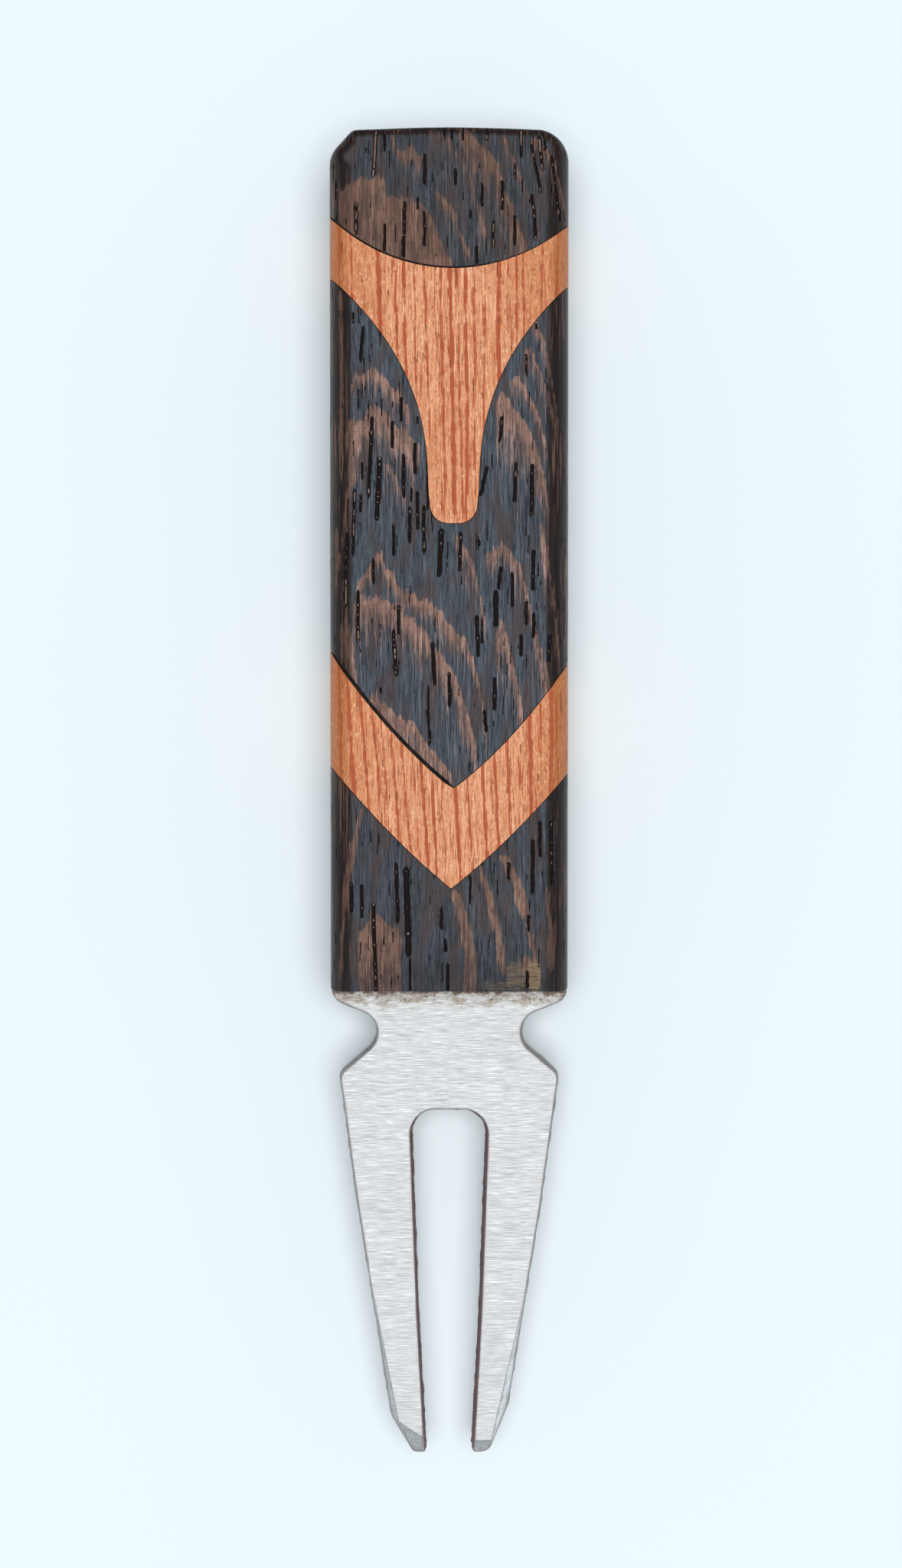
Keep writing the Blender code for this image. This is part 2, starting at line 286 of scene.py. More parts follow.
def wrapped_cut(path):
    """A cut across the scale, left to right, on the wrap: up one wall, over the front, down the other."""
    path = resampled(path, 0.08)
    lengths, outside = foot_on_outline(path)
    inside = np.flatnonzero(outside < 0)
    first, last = inside[0], inside[-1]
    ends = []
    for within, beyond in ((first, first - 1), (last, last + 1)):
        part = outside[within] / (outside[within] - outside[beyond])
        ends.append(lengths[within] + part * (lengths[beyond] - lengths[within]))
    middle = unfold(path[first : last + 1])
    wrapped = np.vstack([wall_line(ends[0])[::-1], middle, wall_line(ends[1])])
    apart = np.r_[True, np.linalg.norm(np.diff(wrapped, axis=0), axis=1) > 0.01]
    return wrapped[apart], ends


# Seams between the wooden pieces, the same curves as in the CAD model

# Half the width of the glue where a seam is closed
CLOSED_SEAM = 0.03

TEE_X = 0.36
TEE_HEAD_STATION = 11.2
TEE_HEAD_RADIUS = 13.9
TEE_HEAD_REACH = math.radians(57)
TEE_STEM_HALF = 1.9
TEE_STEM_STATION = 29.9
TEE_TIP_STATION = 31.5
TEE_TIP_RADIUS = 1.5


def tee_top_seam():
    """The dished top of the tee's head, an arc that is lowest on the tee's axis."""
    centre_station = TEE_HEAD_STATION - TEE_HEAD_RADIUS
    angle = np.linspace(-TEE_HEAD_REACH, TEE_HEAD_REACH, 120)
    x = TEE_X + TEE_HEAD_RADIUS * np.sin(angle)
    return at_station(np.c_[x, centre_station + TEE_HEAD_RADIUS * np.cos(angle)])


def tee_lower_seam():
    """Along the tee's flared shoulders and round the end of its stem, the same on both sides."""
    curve = [(TEE_STEM_HALF, TEE_STEM_STATION), (2.42, 27.3), (0.6, 19.0), (11.5, 10.66)]
    flare = np.array(interpolate_bezier(*map(Vector, curve), 40))[:, :2]
    left = flare[::-1] * (-1, 1)
    tip = [
        (-TEE_STEM_HALF, TEE_STEM_STATION, 0),
        (-TEE_STEM_HALF, TEE_TIP_STATION, TEE_TIP_RADIUS),
        (TEE_STEM_HALF, TEE_TIP_STATION, TEE_TIP_RADIUS),
        (TEE_STEM_HALF, TEE_STEM_STATION, 0),
    ]
    path = np.vstack([left[:-1], rounded_path(tip, closed=False), flare[1:]])
    return at_station(path + (TEE_X, 0))


def chevron_seam(left, point, right, bow):
    """A V through three (x, station) points, its arms bowed and carried on past the handle's sides."""

    def arm(side):
        part = np.linspace(0, 1.25, 30)[1:, None]
        bend = np.c_[np.zeros(len(part)), 4 * bow * (part * (1 - part))[:, 0]]
        return np.array(point) + (np.array(side) - point) * part + bend

    return at_station(np.vstack([arm(left)[::-1], [point], arm(right)]))


SEAMS = {
    "crown_seam": tee_top_seam(),
    "tee_seam": tee_lower_seam(),
    "chevron_upper_seam": chevron_seam((-9.4, 41.6), (0.38, 52.45), (9.42, 42.6), 0.8),
    "chevron_lower_seam": chevron_seam((-9.4, 50.75), (0.15, 60.45), (9.44, 51.3), 0.46),
}

BASE_CUT = rounded_path(
    [
        (-BASE_HALF - BASE_CORNER_OVERHANG, BASE_Y + 2, 0),
        (-BASE_HALF - BASE_CORNER_OVERHANG, BASE_Y, BASE_CORNER),
        (BASE_HALF + BASE_CORNER_OVERHANG, BASE_Y, BASE_CORNER),
        (BASE_HALF + BASE_CORNER_OVERHANG, BASE_Y + 2, 0),
    ],
    closed=False,
)


def seam_half_width(name, path):
    """Half the width of the glue in a seam, as the photograph shows it along the seam.

    The crown's seam narrows towards the right, and the chevron's upper one gapes on its left arm.
    """
    x = path[:, 0]
    if name == "crown_seam":
        return 0.075 - 0.035 * smooth_step((x - 1) / 4)
    if name == "chevron_upper_seam":
        left_arm = (1 - smooth_step((x + 0.3) / 0.8)) * smooth_step((x + 9.6) / 1.2)
        return CLOSED_SEAM + 0.12 * left_arm
    return np.full(len(path), CLOSED_SEAM)


def shifted_seam(name, side):
    """The seam moved by half its glue's width, towards the end of the handle for side 1."""
    path = resampled(SEAMS[name], 0.1)
    return path + left_normals(path) * (side * seam_half_width(name, path))[:, None]


# Surface detail of the wood, drawn on the wrap's grid


def soft_noise(xs, ys, size_x, size_y, seed):
    """Smooth noise from -1 to 1 over the grid of xs and ys, in blobs of size_x by size_y."""
    chance = np.random.default_rng(seed)
    grid_x = (xs - xs[0]) / size_x
    grid_y = (ys - ys[0]) / size_y
    knots = chance.uniform(-1, 1, (int(grid_y[-1]) + 2, int(grid_x[-1]) + 2))
    ix, iy = grid_x.astype(int), grid_y.astype(int)
    part_x = smooth_step(grid_x - ix)[None, :]
    part_y = smooth_step(grid_y - iy)[:, None]
    upper = knots[iy][:, ix] * (1 - part_x) + knots[iy][:, ix + 1] * part_x
    lower = knots[iy + 1][:, ix] * (1 - part_x) + knots[iy + 1][:, ix + 1] * part_x
    return upper * (1 - part_y) + lower * part_y


class Detail:
    """Pores and figure of one kind of wood over a whole scale, on the wrap's grid."""

    def __init__(self, seed, keep_x=KEEP_X):
        self.keep_x = keep_x
        self.xs = np.arange(-WRAP_HALF, WRAP_HALF, FINE_X)
        self.ys = np.arange(BASE_Y - 1.5, END_Y + 6, FINE_Y)
        shape = (len(self.ys), len(self.xs))
        self.flat_half = BASE_HALF - SIDE_ROUND
        self.chance = np.random.default_rng(seed)
        self.pore = np.zeros(shape)
        self.bead = np.zeros(shape)
        self.figure = np.zeros(shape)
        self.worn = np.zeros(shape)
        self.height = 0.010 * soft_noise(self.xs, self.ys, 2.5, 9.0, seed + 1) - 0.014
        self.height += 0.004 * soft_noise(self.xs, self.ys, 0.3, 4.0, seed + 2)
        self.ragged = soft_noise(self.xs, self.ys, 0.16, 2.2, seed + 3)
        self.ragged += 0.6 * soft_noise(self.xs, self.ys, 0.5, 3.5, seed + 4)

    def add_pore(self, top, bottom, width, beads=0.0, depth=0.12, darkness=1.0):
        """One pore between two wrap points, with a slightly wandering line and ragged ends."""
        low, high = sorted((bottom[1], top[1]))
        rows = np.flatnonzero((self.ys >= low) & (self.ys <= high))
        if len(rows) < 2:
            return
        along = (self.ys[rows] - low) / (high - low)
        lower, upper = (bottom, top) if bottom[1] < top[1] else (top, bottom)
        wander = np.interp(along, np.linspace(0, 1, 6), self.chance.normal(0, 0.02, 6))
        middle = lower[0] + (upper[0] - lower[0]) * along + wander
        cells = np.arange(low, high + 0.4, 0.2)
        beading = np.interp(self.ys[rows], cells, self.chance.uniform(0, 1, len(cells)))
        half = width / 2 * np.minimum(1, 2.2 * np.clip(along * (1 - along) * 4, 0, 1) ** 0.4)
        half = half * (0.74 + 0.4 * beading) + 0.012
        columns = np.flatnonzero(np.abs(self.xs - middle.mean()) < np.ptp(middle) / 2 + width + 0.3)
        across = np.abs(self.xs[columns][None, :] - middle[:, None]) / half[:, None]
        groove = np.clip(1.25 * (1 - across**2), 0, 1)
        block = np.ix_(rows, columns)
        self.pore[block] = np.maximum(self.pore[block], darkness * groove)
        self.height[block] = np.minimum(self.height[block], -depth * groove)
        if beads:
            filled = np.clip(1.5 - 2.6 * across, 0, 1)
            filled = filled * np.clip((beading - 1 + beads) / 0.25, 0, 1)[:, None]
            self.bead[block] = np.maximum(self.bead[block], filled)
            self.height[block] += depth / 2 * filled * groove

    def add_measured_pores(self, pores):
        """Pores given as (x, station, x, station, width, share of beads) in plan."""
        for x, station, end_x, end_station, width, beads in pores:
            ends = unfold(at_station([(x, station), (end_x, end_station)]))
            self.add_pore(ends[0], ends[1], width * PORE_WIDENING, beads)

    def add_fine_pores(self, count, longest, widest, depth, beads=0.0):
        for _ in range(count):
            x = self.chance.uniform(self.xs[0], self.xs[-1])
            y = self.chance.uniform(self.ys[0], self.ys[-1])
            length = self.chance.uniform(0.25, 1) ** 1.6 * longest
            lean = self.chance.normal(0, 0.02) * length
            width = widest * self.chance.uniform(0.45, 1)
            self.add_pore((x + lean, y + length), (x, y), width, beads * self.chance.uniform(0, 1), depth)

    def add_scratches(self, count, corner, far_corner, rise, longest):
        """Fine scratches across the grain, inside a plan rectangle given by two (x, station) corners."""
        for _ in range(count):
            x = self.chance.uniform(corner[0], far_corner[0])
            station = self.chance.uniform(corner[1], far_corner[1])
            length = longest * self.chance.uniform(0.3, 1)
            slope = rise * self.chance.uniform(0.6, 1.5)
            ends = unfold(at_station([(x, station), (x + length, station - slope * length)]))
            self.add_pore(ends[0], ends[1], 0.03, 0, 0.008, self.chance.uniform(0.2, 0.36))

    def add_worn_patch(self, x, station, half_width, half_length, strength):
        """A scuffed patch with a ragged border, round a plan point on the flat."""
        away_x = (self.xs[None, :] - x) / half_width
        away_y = (END_Y - self.ys[:, None] - station) / half_length
        away = away_x**4 + away_y**4 + 0.25 * self.ragged
        self.worn = np.maximum(self.worn, strength * smooth_step((1.25 - away) / 0.6))

    def add_figure(self, stroke, strength):
        """A lighter band in the wood through plan points given as (x, station, half width)."""
        stroke = np.array(stroke, dtype=float)
        points = unfold(at_station(stroke[:, :2]))
        halves = stroke[:, 2]
        for i in range(len(points) - 1):
            a, b = points[i], points[i + 1]
            reach = max(halves[i], halves[i + 1]) * 1.5 + 0.4
            low, high = np.minimum(a, b) - reach, np.maximum(a, b) + reach
            rows = np.flatnonzero((self.ys > low[1]) & (self.ys < high[1]))
            columns = np.flatnonzero((self.xs > low[0]) & (self.xs < high[0]))
            if not len(rows) or not len(columns):
                continue
            block = np.ix_(rows, columns)
            x, y = np.meshgrid(self.xs[columns], self.ys[rows])
            along = b - a
            part = np.clip(((x - a[0]) * along[0] + (y - a[1]) * along[1]) / (along @ along), 0, 1)
            gap = np.hypot(x - a[0] - part * along[0], (y - a[1] - part * along[1]) * 0.8)
            half = halves[i] + (halves[i + 1] - halves[i]) * part
            gap = gap + 0.16 * self.ragged[block]
            value = strength * smooth_step((half * 1.25 - gap) / (0.5 * half + 0.12))
            self.figure[block] = np.maximum(self.figure[block], value)

    def add_flame(self, edge, fade, strength):
        """Brown figure that starts sharply at an edge of (x, station) points and fades towards the fork."""
        edge = np.array(edge, dtype=float)
        past = np.clip(np.abs(self.xs) - self.flat_half, 0, SIDE_ROUND * math.pi / 2)
        plan_x = np.minimum(np.abs(self.xs), self.flat_half) + SIDE_ROUND * np.sin(past / SIDE_ROUND)
        plan_x *= np.sign(self.xs)
        columns = np.flatnonzero((plan_x > edge[0, 0]) & (plan_x < edge[-1, 0]))
        if not len(columns):
            return
        x = plan_x[columns]
        start = np.interp(x, edge[:, 0], edge[:, 1])
        ends = np.minimum(x - edge[0, 0], edge[-1, 0] - x)
        station = END_Y - self.ys[:, None]
        past_edge = station - start[None, :] + 0.3 * self.ragged[:, columns]
        rise = smooth_step(past_edge / 0.35 + 0.5)
        fall = np.exp(-np.clip(past_edge - 0.3, 0, None) / fade)
        value = strength * rise * fall * smooth_step(ends / 0.35)[None, :]
        self.figure[:, columns] = np.maximum(self.figure[:, columns], value)

    def add_side_streaks(self, count):
        """Brown streaks along the grain on the side walls and on the rounding above them."""
        for _ in range(count):
            x = self.chance.uniform(9.6, 14.5) * self.chance.choice((-1, 1))
            station = self.chance.uniform(-4, 62)
            length = self.chance.uniform(8, 36)
            width = self.chance.uniform(0.1, 0.5)
            strength = self.chance.uniform(0.35, 1.0)
            self.add_stripe(x, station, station + length, self.chance.normal(0, 0.012), width, strength)

    def add_stripe(self, x, station, end_station, lean, width, strength):
        """A line of figure running with the grain from one station to the other."""
        stations = END_Y - self.ys
        rows = np.flatnonzero((stations > station) & (stations < end_station))
        if len(rows) < 8:
            return
        along = (stations[rows] - station) / (end_station - station)
        knots = np.linspace(0, 1, max(4, int((end_station - station) / 2.5)))
        wander = np.cumsum(self.chance.normal(0, 0.035, len(knots)))
        middle = x + lean * (stations[rows] - station) + np.interp(along, knots, wander)
        vary = np.interp(along, np.linspace(0, 1, 60), self.chance.uniform(0, 1, 60))
        half = width / 2 * (0.75 + 0.5 * vary)
        ends = smooth_step(np.minimum(along, 1 - along) * 8)
        columns = np.flatnonzero((self.xs > middle.min() - 0.6) & (self.xs < middle.max() + 0.6))
        across = np.abs(self.xs[columns][None, :] - middle[:, None]) / half[:, None]
        value = strength * smooth_step((1.4 - across) / 0.7) * (ends * (0.7 + 0.3 * vary))[:, None]
        block = np.ix_(rows, columns)
        self.figure[block] = np.maximum(self.figure[block], value)

    def sample(self, values, points):
        """Values of a grid at wrap points."""
        grid_x = np.clip((points[:, 0] - self.xs[0]) / FINE_X, 0, len(self.xs) - 1.001)
        grid_y = np.clip((points[:, 1] - self.ys[0]) / FINE_Y, 0, len(self.ys) - 1.001)
        ix, iy = grid_x.astype(int), grid_y.astype(int)
        part_x, part_y = grid_x - ix, grid_y - iy
        upper = values[iy, ix] * (1 - part_x) + values[iy, ix + 1] * part_x
        lower = values[iy + 1, ix] * (1 - part_x) + values[iy + 1, ix + 1] * part_x
        return upper * (1 - part_y) + lower * part_y

    def grid_points(self, outline):
        """Grid crossings inside the outline: all of them near a pore, and every few elsewhere."""
        busy = self.pore > 0.02
        grown = busy.copy()
        grown[:, 1:] |= busy[:, :-1]
        grown[:, :-1] |= busy[:, 1:]
        grown[1:] |= grown[:-1].copy()
        keep = grown
        keep[::KEEP_Y, :: self.keep_x] = True
        inside = np.zeros_like(keep)
        ends = np.roll(outline, -1, axis=0)
        for row, y in enumerate(self.ys + 1e-6):
            cross = (outline[:, 1] > y) != (ends[:, 1] > y)
            if not cross.any():
                continue
            a, b = outline[cross], ends[cross]
            at = np.sort(a[:, 0] + (y - a[:, 1]) / (b[:, 1] - a[:, 1]) * (b[:, 0] - a[:, 0]))
            inside[row] = np.searchsorted(at, self.xs) % 2 == 1
        border = np.zeros_like(keep)
        dense = resampled(outline, min(FINE_X, FINE_Y) / 2, closed=True)
        bx = np.clip(np.round((dense[:, 0] - self.xs[0]) / FINE_X).astype(int), 0, len(self.xs) - 1)
        by = np.clip(np.round((dense[:, 1] - self.ys[0]) / FINE_Y).astype(int), 0, len(self.ys) - 1)
        border[by, bx] = True
        rows, columns = np.nonzero(keep & inside & ~border)
        return np.c_[self.xs[columns], self.ys[rows]]


# Meshes


def mesh_object(name, places, faces, attributes, looks, smooth_angle=50):
    """A piece from places in millimetres, made in metres, that rides on the root body."""
    mesh = bpy.data.meshes.new(name)
    mesh.from_pydata((np.asarray(places) * MM).tolist(), [], faces)
    mesh.validate()
    for key, values in attributes.items():
        layer = mesh.attributes.new(key, "FLOAT", "POINT")
        layer.data.foreach_set("value", np.asarray(values, dtype=np.float32))
    mesh.shade_smooth()
    mesh.set_sharp_from_angle(angle=math.radians(smooth_angle))
    mesh.materials.append(looks)
    made = bpy.data.objects.new(name, mesh)
    bpy.context.scene.collection.objects.link(made)
    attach(made, "root")
    return made


def triangles_inside(outline, inner, extra_edges=()):
    """Triangles over the inside of an outline, through all of its points and the inner ones."""
    points = np.vstack([outline, inner]) if len(inner) else outline
    flat = [Vector(point) for point in points.tolist()]
    made = delaunay_2d_cdt(flat, list(extra_edges), [list(range(len(outline)))], 1, 1e-7)
    places = np.array([tuple(point) for point in made[0]])
    return places, [list(face) for face in made[2]]


def band(first, second, count):
    """Quads between two closed rings of as many points, from the numbers of the rings' first points."""
    steps = [(i, (i + 1) % count) for i in range(count)]
    return [[first + i, first + j, second + j, second + i] for i, j in steps]


class Side:
    """Where the front or the back scale sits. The back one faces down, its seams behind the front's."""

    def __init__(self, name, glue_z, facing):
        self.name = name
        self.glue_z = glue_z
        self.facing = facing

    def place(self, places):
        """The places of a piece that was made with its glue side at z = 0, facing up."""
        placed = places * (1, 1, self.facing)
        placed[:, 2] += self.glue_z
        return placed

    def wind(self, faces):
        """The faces, turned round where the side faces down, so that they still face outwards."""
        return faces if self.facing > 0 else [face[::-1] for face in faces]


def block_outline(upper, lower):
    """Closed wrap outline between two cuts. With no upper cut it runs round the end of the handle."""
    lower_path, lower_ends = wrapped_cut(lower)
    if upper is None:
        return np.vstack([lower_path, wall_foot(lower_ends[1], lower_ends[0])])
    upper_path, upper_ends = wrapped_cut(upper)
    right = wall_foot(lower_ends[1], upper_ends[1])
    left = wall_foot(upper_ends[0], lower_ends[0])
    return np.vstack([lower_path, right, upper_path[::-1], left])


def close_block(places, faces, rim):
    """Adds the sawn faces under the cuts and the glue side, below the rim's points.

    A rim point straight above the last foot shares it, and one already on the glue side is its own foot.
    """
    places = places.tolist()
    foot = []
    for index in rim:
        x, y, z = places[index]
        if foot and math.dist(places[foot[-1]][:2], (x, y)) < 1e-5:
            foot.append(foot[-1])
        elif z < 1e-4:
            foot.append(index)
        else:
            places.append([x, y, 0.0])
            foot.append(len(places) - 1)
    count = len(rim)
    for i in range(count):
        j = (i + 1) % count
        quad = [rim[j], rim[i], foot[i], foot[j]]
        if foot[i] != foot[j] and (rim[i] != foot[i] or rim[j] != foot[j]):
            faces.append(list(dict.fromkeys(quad)))
    bottom = list(dict.fromkeys(foot))
    faces.append(bottom[::-1])
    return np.array(places), faces


def add_wood(side, name, upper, lower, detail, looks, light):
    """One block or inlay of a scale, between two cuts, with its surface detail as shape and attributes."""
    outline = block_outline(upper, lower)
    points, faces = triangles_inside(outline, detail.grid_points(outline))
    places, normals, past = fold(points)
    places = places + normals * detail.sample(detail.height, points)[:, None]
    attributes = {
        "pore": detail.sample(detail.pore, points),
        "bead": detail.sample(detail.bead, points),
        "figure": detail.sample(detail.figure, points),
        "past": past,
        "worn": detail.sample(detail.worn, points),
        "light": np.full(len(points), light),
    }
    before = len(places)
    places, faces = close_block(places, faces, list(range(len(outline))))
    extra = len(places) - before
    attributes = {key: np.r_[values, np.zeros(extra)] for key, values in attributes.items()}
    node = f"{side.name}_{name}"
    made = mesh_object(node + "_wood", side.place(places), side.wind(faces), attributes, looks)
    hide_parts(node)
    return made


def add_seam_glue(side, name, looks):
    """The glue line in a seam, sunk a little below the wood and reaching to the tang."""
    path = resampled(SEAMS[name], 0.12)
    half = seam_half_width(name, path)
    lengths, outside = foot_on_outline(path)
    inside = np.flatnonzero(outside < -0.02)
    columns = []
    for shift in (1.0, 0.35, -0.35, -1.0):
        line = path + left_normals(path) * (shift * half)[:, None]
        wrapped = unfold(line[inside[0] : inside[-1] + 1])
        starts = wall_line(lengths[inside[0]])[::-1]
        ends = wall_line(lengths[inside[-1]])
        start_shift, end_shift = (line - path)[inside[[0, -1]]]
        columns.append(np.vstack([starts + start_shift, wrapped, ends + end_shift]))
    chance = np.random.default_rng(sum(map(ord, name)))
    sink = 0.05 + 0.03 * chance.uniform(0, 1, len(columns[0]))
    places = []
    for column, deeper in zip(columns, (0.0, 0.012, 0.012, 0.0)):
        folded, normals, _ = fold(column)
        places.append(folded - normals * (sink + deeper)[:, None])
    count = len(places[0])
    below = [p * (1, 1, 0) + (0, 0, 0.02) for p in places]
    stacked = np.vstack(places + [below[0], below[3]])
    faces = []
    strips = ((0, 1), (1, 2), (2, 3), (3, 5), (5, 4), (4, 0))
    for left, right in strips:
        for i in range(count - 1):
            a, b = left * count + i, right * count + i
            faces.append([a, b, b + 1, a + 1])
    middle = np.repeat([0.0, 1.0, 1.0, 0.0, 0.0, 0.0], count)
    node = f"{side.name}_{name}_glue"
    made = mesh_object(node + "_line", side.place(stacked), side.wind(faces), {"middle": middle}, looks)
    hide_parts(node)
    return made


# Fork plate

# The rounding of its edges, how far its cut walls lean out on their way down, and steps for both
ARRIS = 0.1
ARRIS_STEPS = 3
CUT_DRAFT = 0.15
WALL_STEPS = 12

# Spacing of its outline's points and of the grid on its face
OUTLINE_STEP = 0.13
FACE_STEP = 0.3

# Corners of one side of the fork, as (x, below, radius): neck and shoulder, then tip, then slot
NECK_CORNERS = [(9.42, 0.86, 1.34), (4.1, 2.96, 1.78), (8.77, 6.89, 1.0), (7.3, 17.5, 60)]
RIGHT_TIP_CORNERS = [(4.67, 33.6, 3.0), (3.15, 37.3, 1.0)]
LEFT_TIP_CORNERS = [(4.61, 34.35, 0.5), (2.87, 37.3, 0.35)]
SLOT_CORNERS = [(1.96, 37.3, 0.12), (2.57, 26.4, 20), (3.2, 9.7, 2.0)]

# A cut wall belongs to the slot when it is this near the middle and this far below the wood
SLOT_REACH = 3.3
SLOT_BELOW = 8

# The facets keep to the tines, this far below the wood, and leave the tips this thick
FACETS_BELOW = 15
TIP_THICKNESS = 0.3

# Two points of each facet's crease, as (x, below), its slope in degrees, and how bright it is painted: a
# painted highlight or painted shade for the light that the facet catches
FACETS = {
    "left_edge": ((-5.4, 27.8), (-4.28, 33.4), 50, 0.25),
    "left_tip": ((-4.2, 34.62), (-1.0, 36.8), 36, 0.1),
    "right_edge": ((3.55, 35.4), (5.22, 28.2), 50, 0.85),
    "right_tip": ((2.0, 36.25), (3.5, 36.25), 38, 0.0),
}


def plate_outline():
    """The whole plate's outline: round the tang, then down and up the fork's right side, then its left."""
    right = NECK_CORNERS + RIGHT_TIP_CORNERS + SLOT_CORNERS
    left = NECK_CORNERS + LEFT_TIP_CORNERS + SLOT_CORNERS
    corners = end_corners()
    corners += [(x, BASE_Y - below, radius) for x, below, radius in right]
    corners += [(-x, BASE_Y - below, radius) for x, below, radius in left[::-1]]
    return rounded_path(corners, closed=True)


def facet_line(first, second):
    """A point on a facet's crease and the unit vector along it, from two points on it as (x, below)."""
    (x, below), (end_x, end_below) = first, second
    along = np.array([end_x - x, below - end_below])
    return np.array([x, BASE_Y - below]), along / np.linalg.norm(along)


def on_tine_of(start, points):
    """Whether each point lies on the same side of the slot as the start of a crease."""
    return (points[:, 0] < 0) == (start[0] < 0)


def facet_falls(points):
    """How far each ground facet alone would lower the plate's face at each point, a row for each facet."""
    falls = []
    for first, second, slope, _ in FACETS.values():
        start, along = facet_line(first, second)
        beyond = (points - start) @ np.array([along[1], -along[0]])
        low_enough = points[:, 1] < BASE_Y - FACETS_BELOW
        fall = np.clip(beyond, 0, None) * math.tan(math.radians(slope))
        falls.append(np.where(on_tine_of(start, points) & low_enough, fall, 0))
    return np.array(falls)


def facet_drop(points):
    """How far the ground facets together lower the plate's face at each point."""
    deepest = PLATE_HIGH_Z - PLATE_LOW_Z - TIP_THICKNESS
    return np.minimum(facet_falls(points).max(0), deepest)


def facet_painted_light(points):
    """How bright the facet at each point is painted, a painted highlight or painted shade for the light it
    catches.
    """
    painted_facet_lights = np.array([painted_facet_light for _, _, _, painted_facet_light in FACETS.values()])
    return painted_facet_lights[facet_falls(points).argmax(0)]


def facet_creases(outline):
    """Points along the line where each facet meets the plate's face, inside the outline."""
    lines = []
    for first, second, _, _ in FACETS.values():
        start, along = facet_line(first, second)
        line = start + along * np.arange(-12, 12, 0.12)[:, None]
        kept = on_tine_of(start, line) & points_inside(line, outline) & (facet_drop(line) < 1e-3)
        lines.append(line[kept])
    return lines


def points_inside(points, outline):
    """Whether each point lies inside the closed outline."""
    ends = np.roll(outline, -1, axis=0)
    px, py = points[:, :1], points[:, 1:]
    spans = (outline[None, :, 1] > py) != (ends[None, :, 1] > py)
    rise = ends[:, 1] - outline[:, 1]
    rise = np.where(np.abs(rise) < 1e-12, 1e-12, rise)
    at = outline[None, :, 0] + (py - outline[None, :, 1]) / rise * (ends - outline)[None, :, 0]
    return (spans & (px < at)).sum(1) % 2 == 1


def nearest_gap(points, outline):
    """How far each point is from the nearest one of the outline's points."""
    gaps = np.empty(len(points))
    for first in range(0, len(points), POINTS_AT_ONCE):
        some = points[first : first + POINTS_AT_ONCE]
        away = np.hypot(some[:, None, 0] - outline[None, :, 0], some[:, None, 1] - outline[None, :, 1])
        gaps[first : first + POINTS_AT_ONCE] = away.min(1)
    return gaps


def uneven_cut(outline, in_slot):
    """A fine ripple round the cut walls, and how far the burr at their foot stands out."""
    chance = np.random.default_rng(5)
    count = len(outline)
    along = np.arange(count)
    ripple_knots = np.arange(0, count + 4, 3)
    ripple = np.interp(along, ripple_knots, chance.normal(0, 1, len(ripple_knots)))
    burr_knots = np.arange(0, count + 9, 4)
    burr = np.interp(along, burr_knots, chance.uniform(0, 1, len(burr_knots)))
    burr = np.clip(burr - 0.45, 0, 1) * 0.22
    right_of_slot = in_slot & (outline[:, 0] > 0)
    return ripple, np.where(right_of_slot, burr + 0.12, burr)


def plate_rings(outline, in_slot):
    """Rings of points from the rim of the plate's face to its back's, and how much of a wall each is."""
    out = left_normals(outline, closed=True)
    exposed = smooth_step((BASE_Y - outline[:, 1]) / 0.3)
    tips = outline[:, 1] < PLATE_BOX[0][1] + 0.6
    ripple, burr = uneven_cut(outline, in_slot)
    top = PLATE_HIGH_Z - facet_drop(outline)
    rings, walls = [], []
    for step in range(ARRIS_STEPS + 1):
        angle = math.pi / 2 * step / ARRIS_STEPS
        ring = outline - out * (ARRIS * (1 - math.sin(angle)))
        rings.append(np.c_[ring, top - ARRIS * (1 - math.cos(angle))])
        walls.append(0.25 * step)
    for step in range(1, WALL_STEPS + 1):
        part = step / WALL_STEPS
        height = (top - ARRIS) * (1 - part) + (PLATE_LOW_Z + ARRIS) * part
        lean = CUT_DRAFT * (PLATE_HIGH_Z - height) / (PLATE_HIGH_Z - PLATE_LOW_Z)
        fray = 0.012 * ripple * min(1, part * 3) + burr * max(0, part - 0.8) * 2.5
        fray = np.where(tips, np.minimum(fray, 0), fray)
        ring = outline + out * ((lean + fray) * exposed)[:, None]
        rings.append(np.c_[ring, height])
        walls.append(1.0)
    last = rings[-1][:, :2]
    for inset, rise, is_wall in ((ARRIS * 0.3, ARRIS * 0.3, 1.0), (ARRIS, 0.0, 0.6)):
        rings.append(np.c_[last - out * inset, np.full(len(outline), PLATE_LOW_Z + rise)])
        walls.append(is_wall)
    return rings, walls


def plate_face(rim, out):
    """Points and triangles of the plate's face: a grid, fringes inside the rim, and the facets' creases."""
    columns = np.arange(-9.4, 9.5, FACE_STEP)
    rows = np.arange(PLATE_BOX[0][1], BASE_Y + 1, FACE_STEP)
    step_x, step_y = np.meshgrid(columns, rows)
    grid = [np.c_[step_x.ravel(), step_y.ravel()]]
    for inset in (0.12, 0.28):
        fringe = rim - out * inset
        grid.append(fringe[fringe[:, 1] < BASE_Y + 0.5][::2])
    grid = np.vstack(grid)
    grid = grid[points_inside(grid, rim)]
    grid = grid[nearest_gap(grid, rim) > 0.09]
    creases = [line for line in facet_creases(rim) if len(line)]
    for line in creases:
        grid = grid[nearest_gap(grid, line) > 0.07]
    edges = []
    start = len(rim) + len(grid)
    for line in creases:
        edges += [(start + i, start + i + 1) for i in range(len(line) - 1)]
        start += len(line)
    return triangles_inside(rim, np.vstack([grid, *creases]), edges)


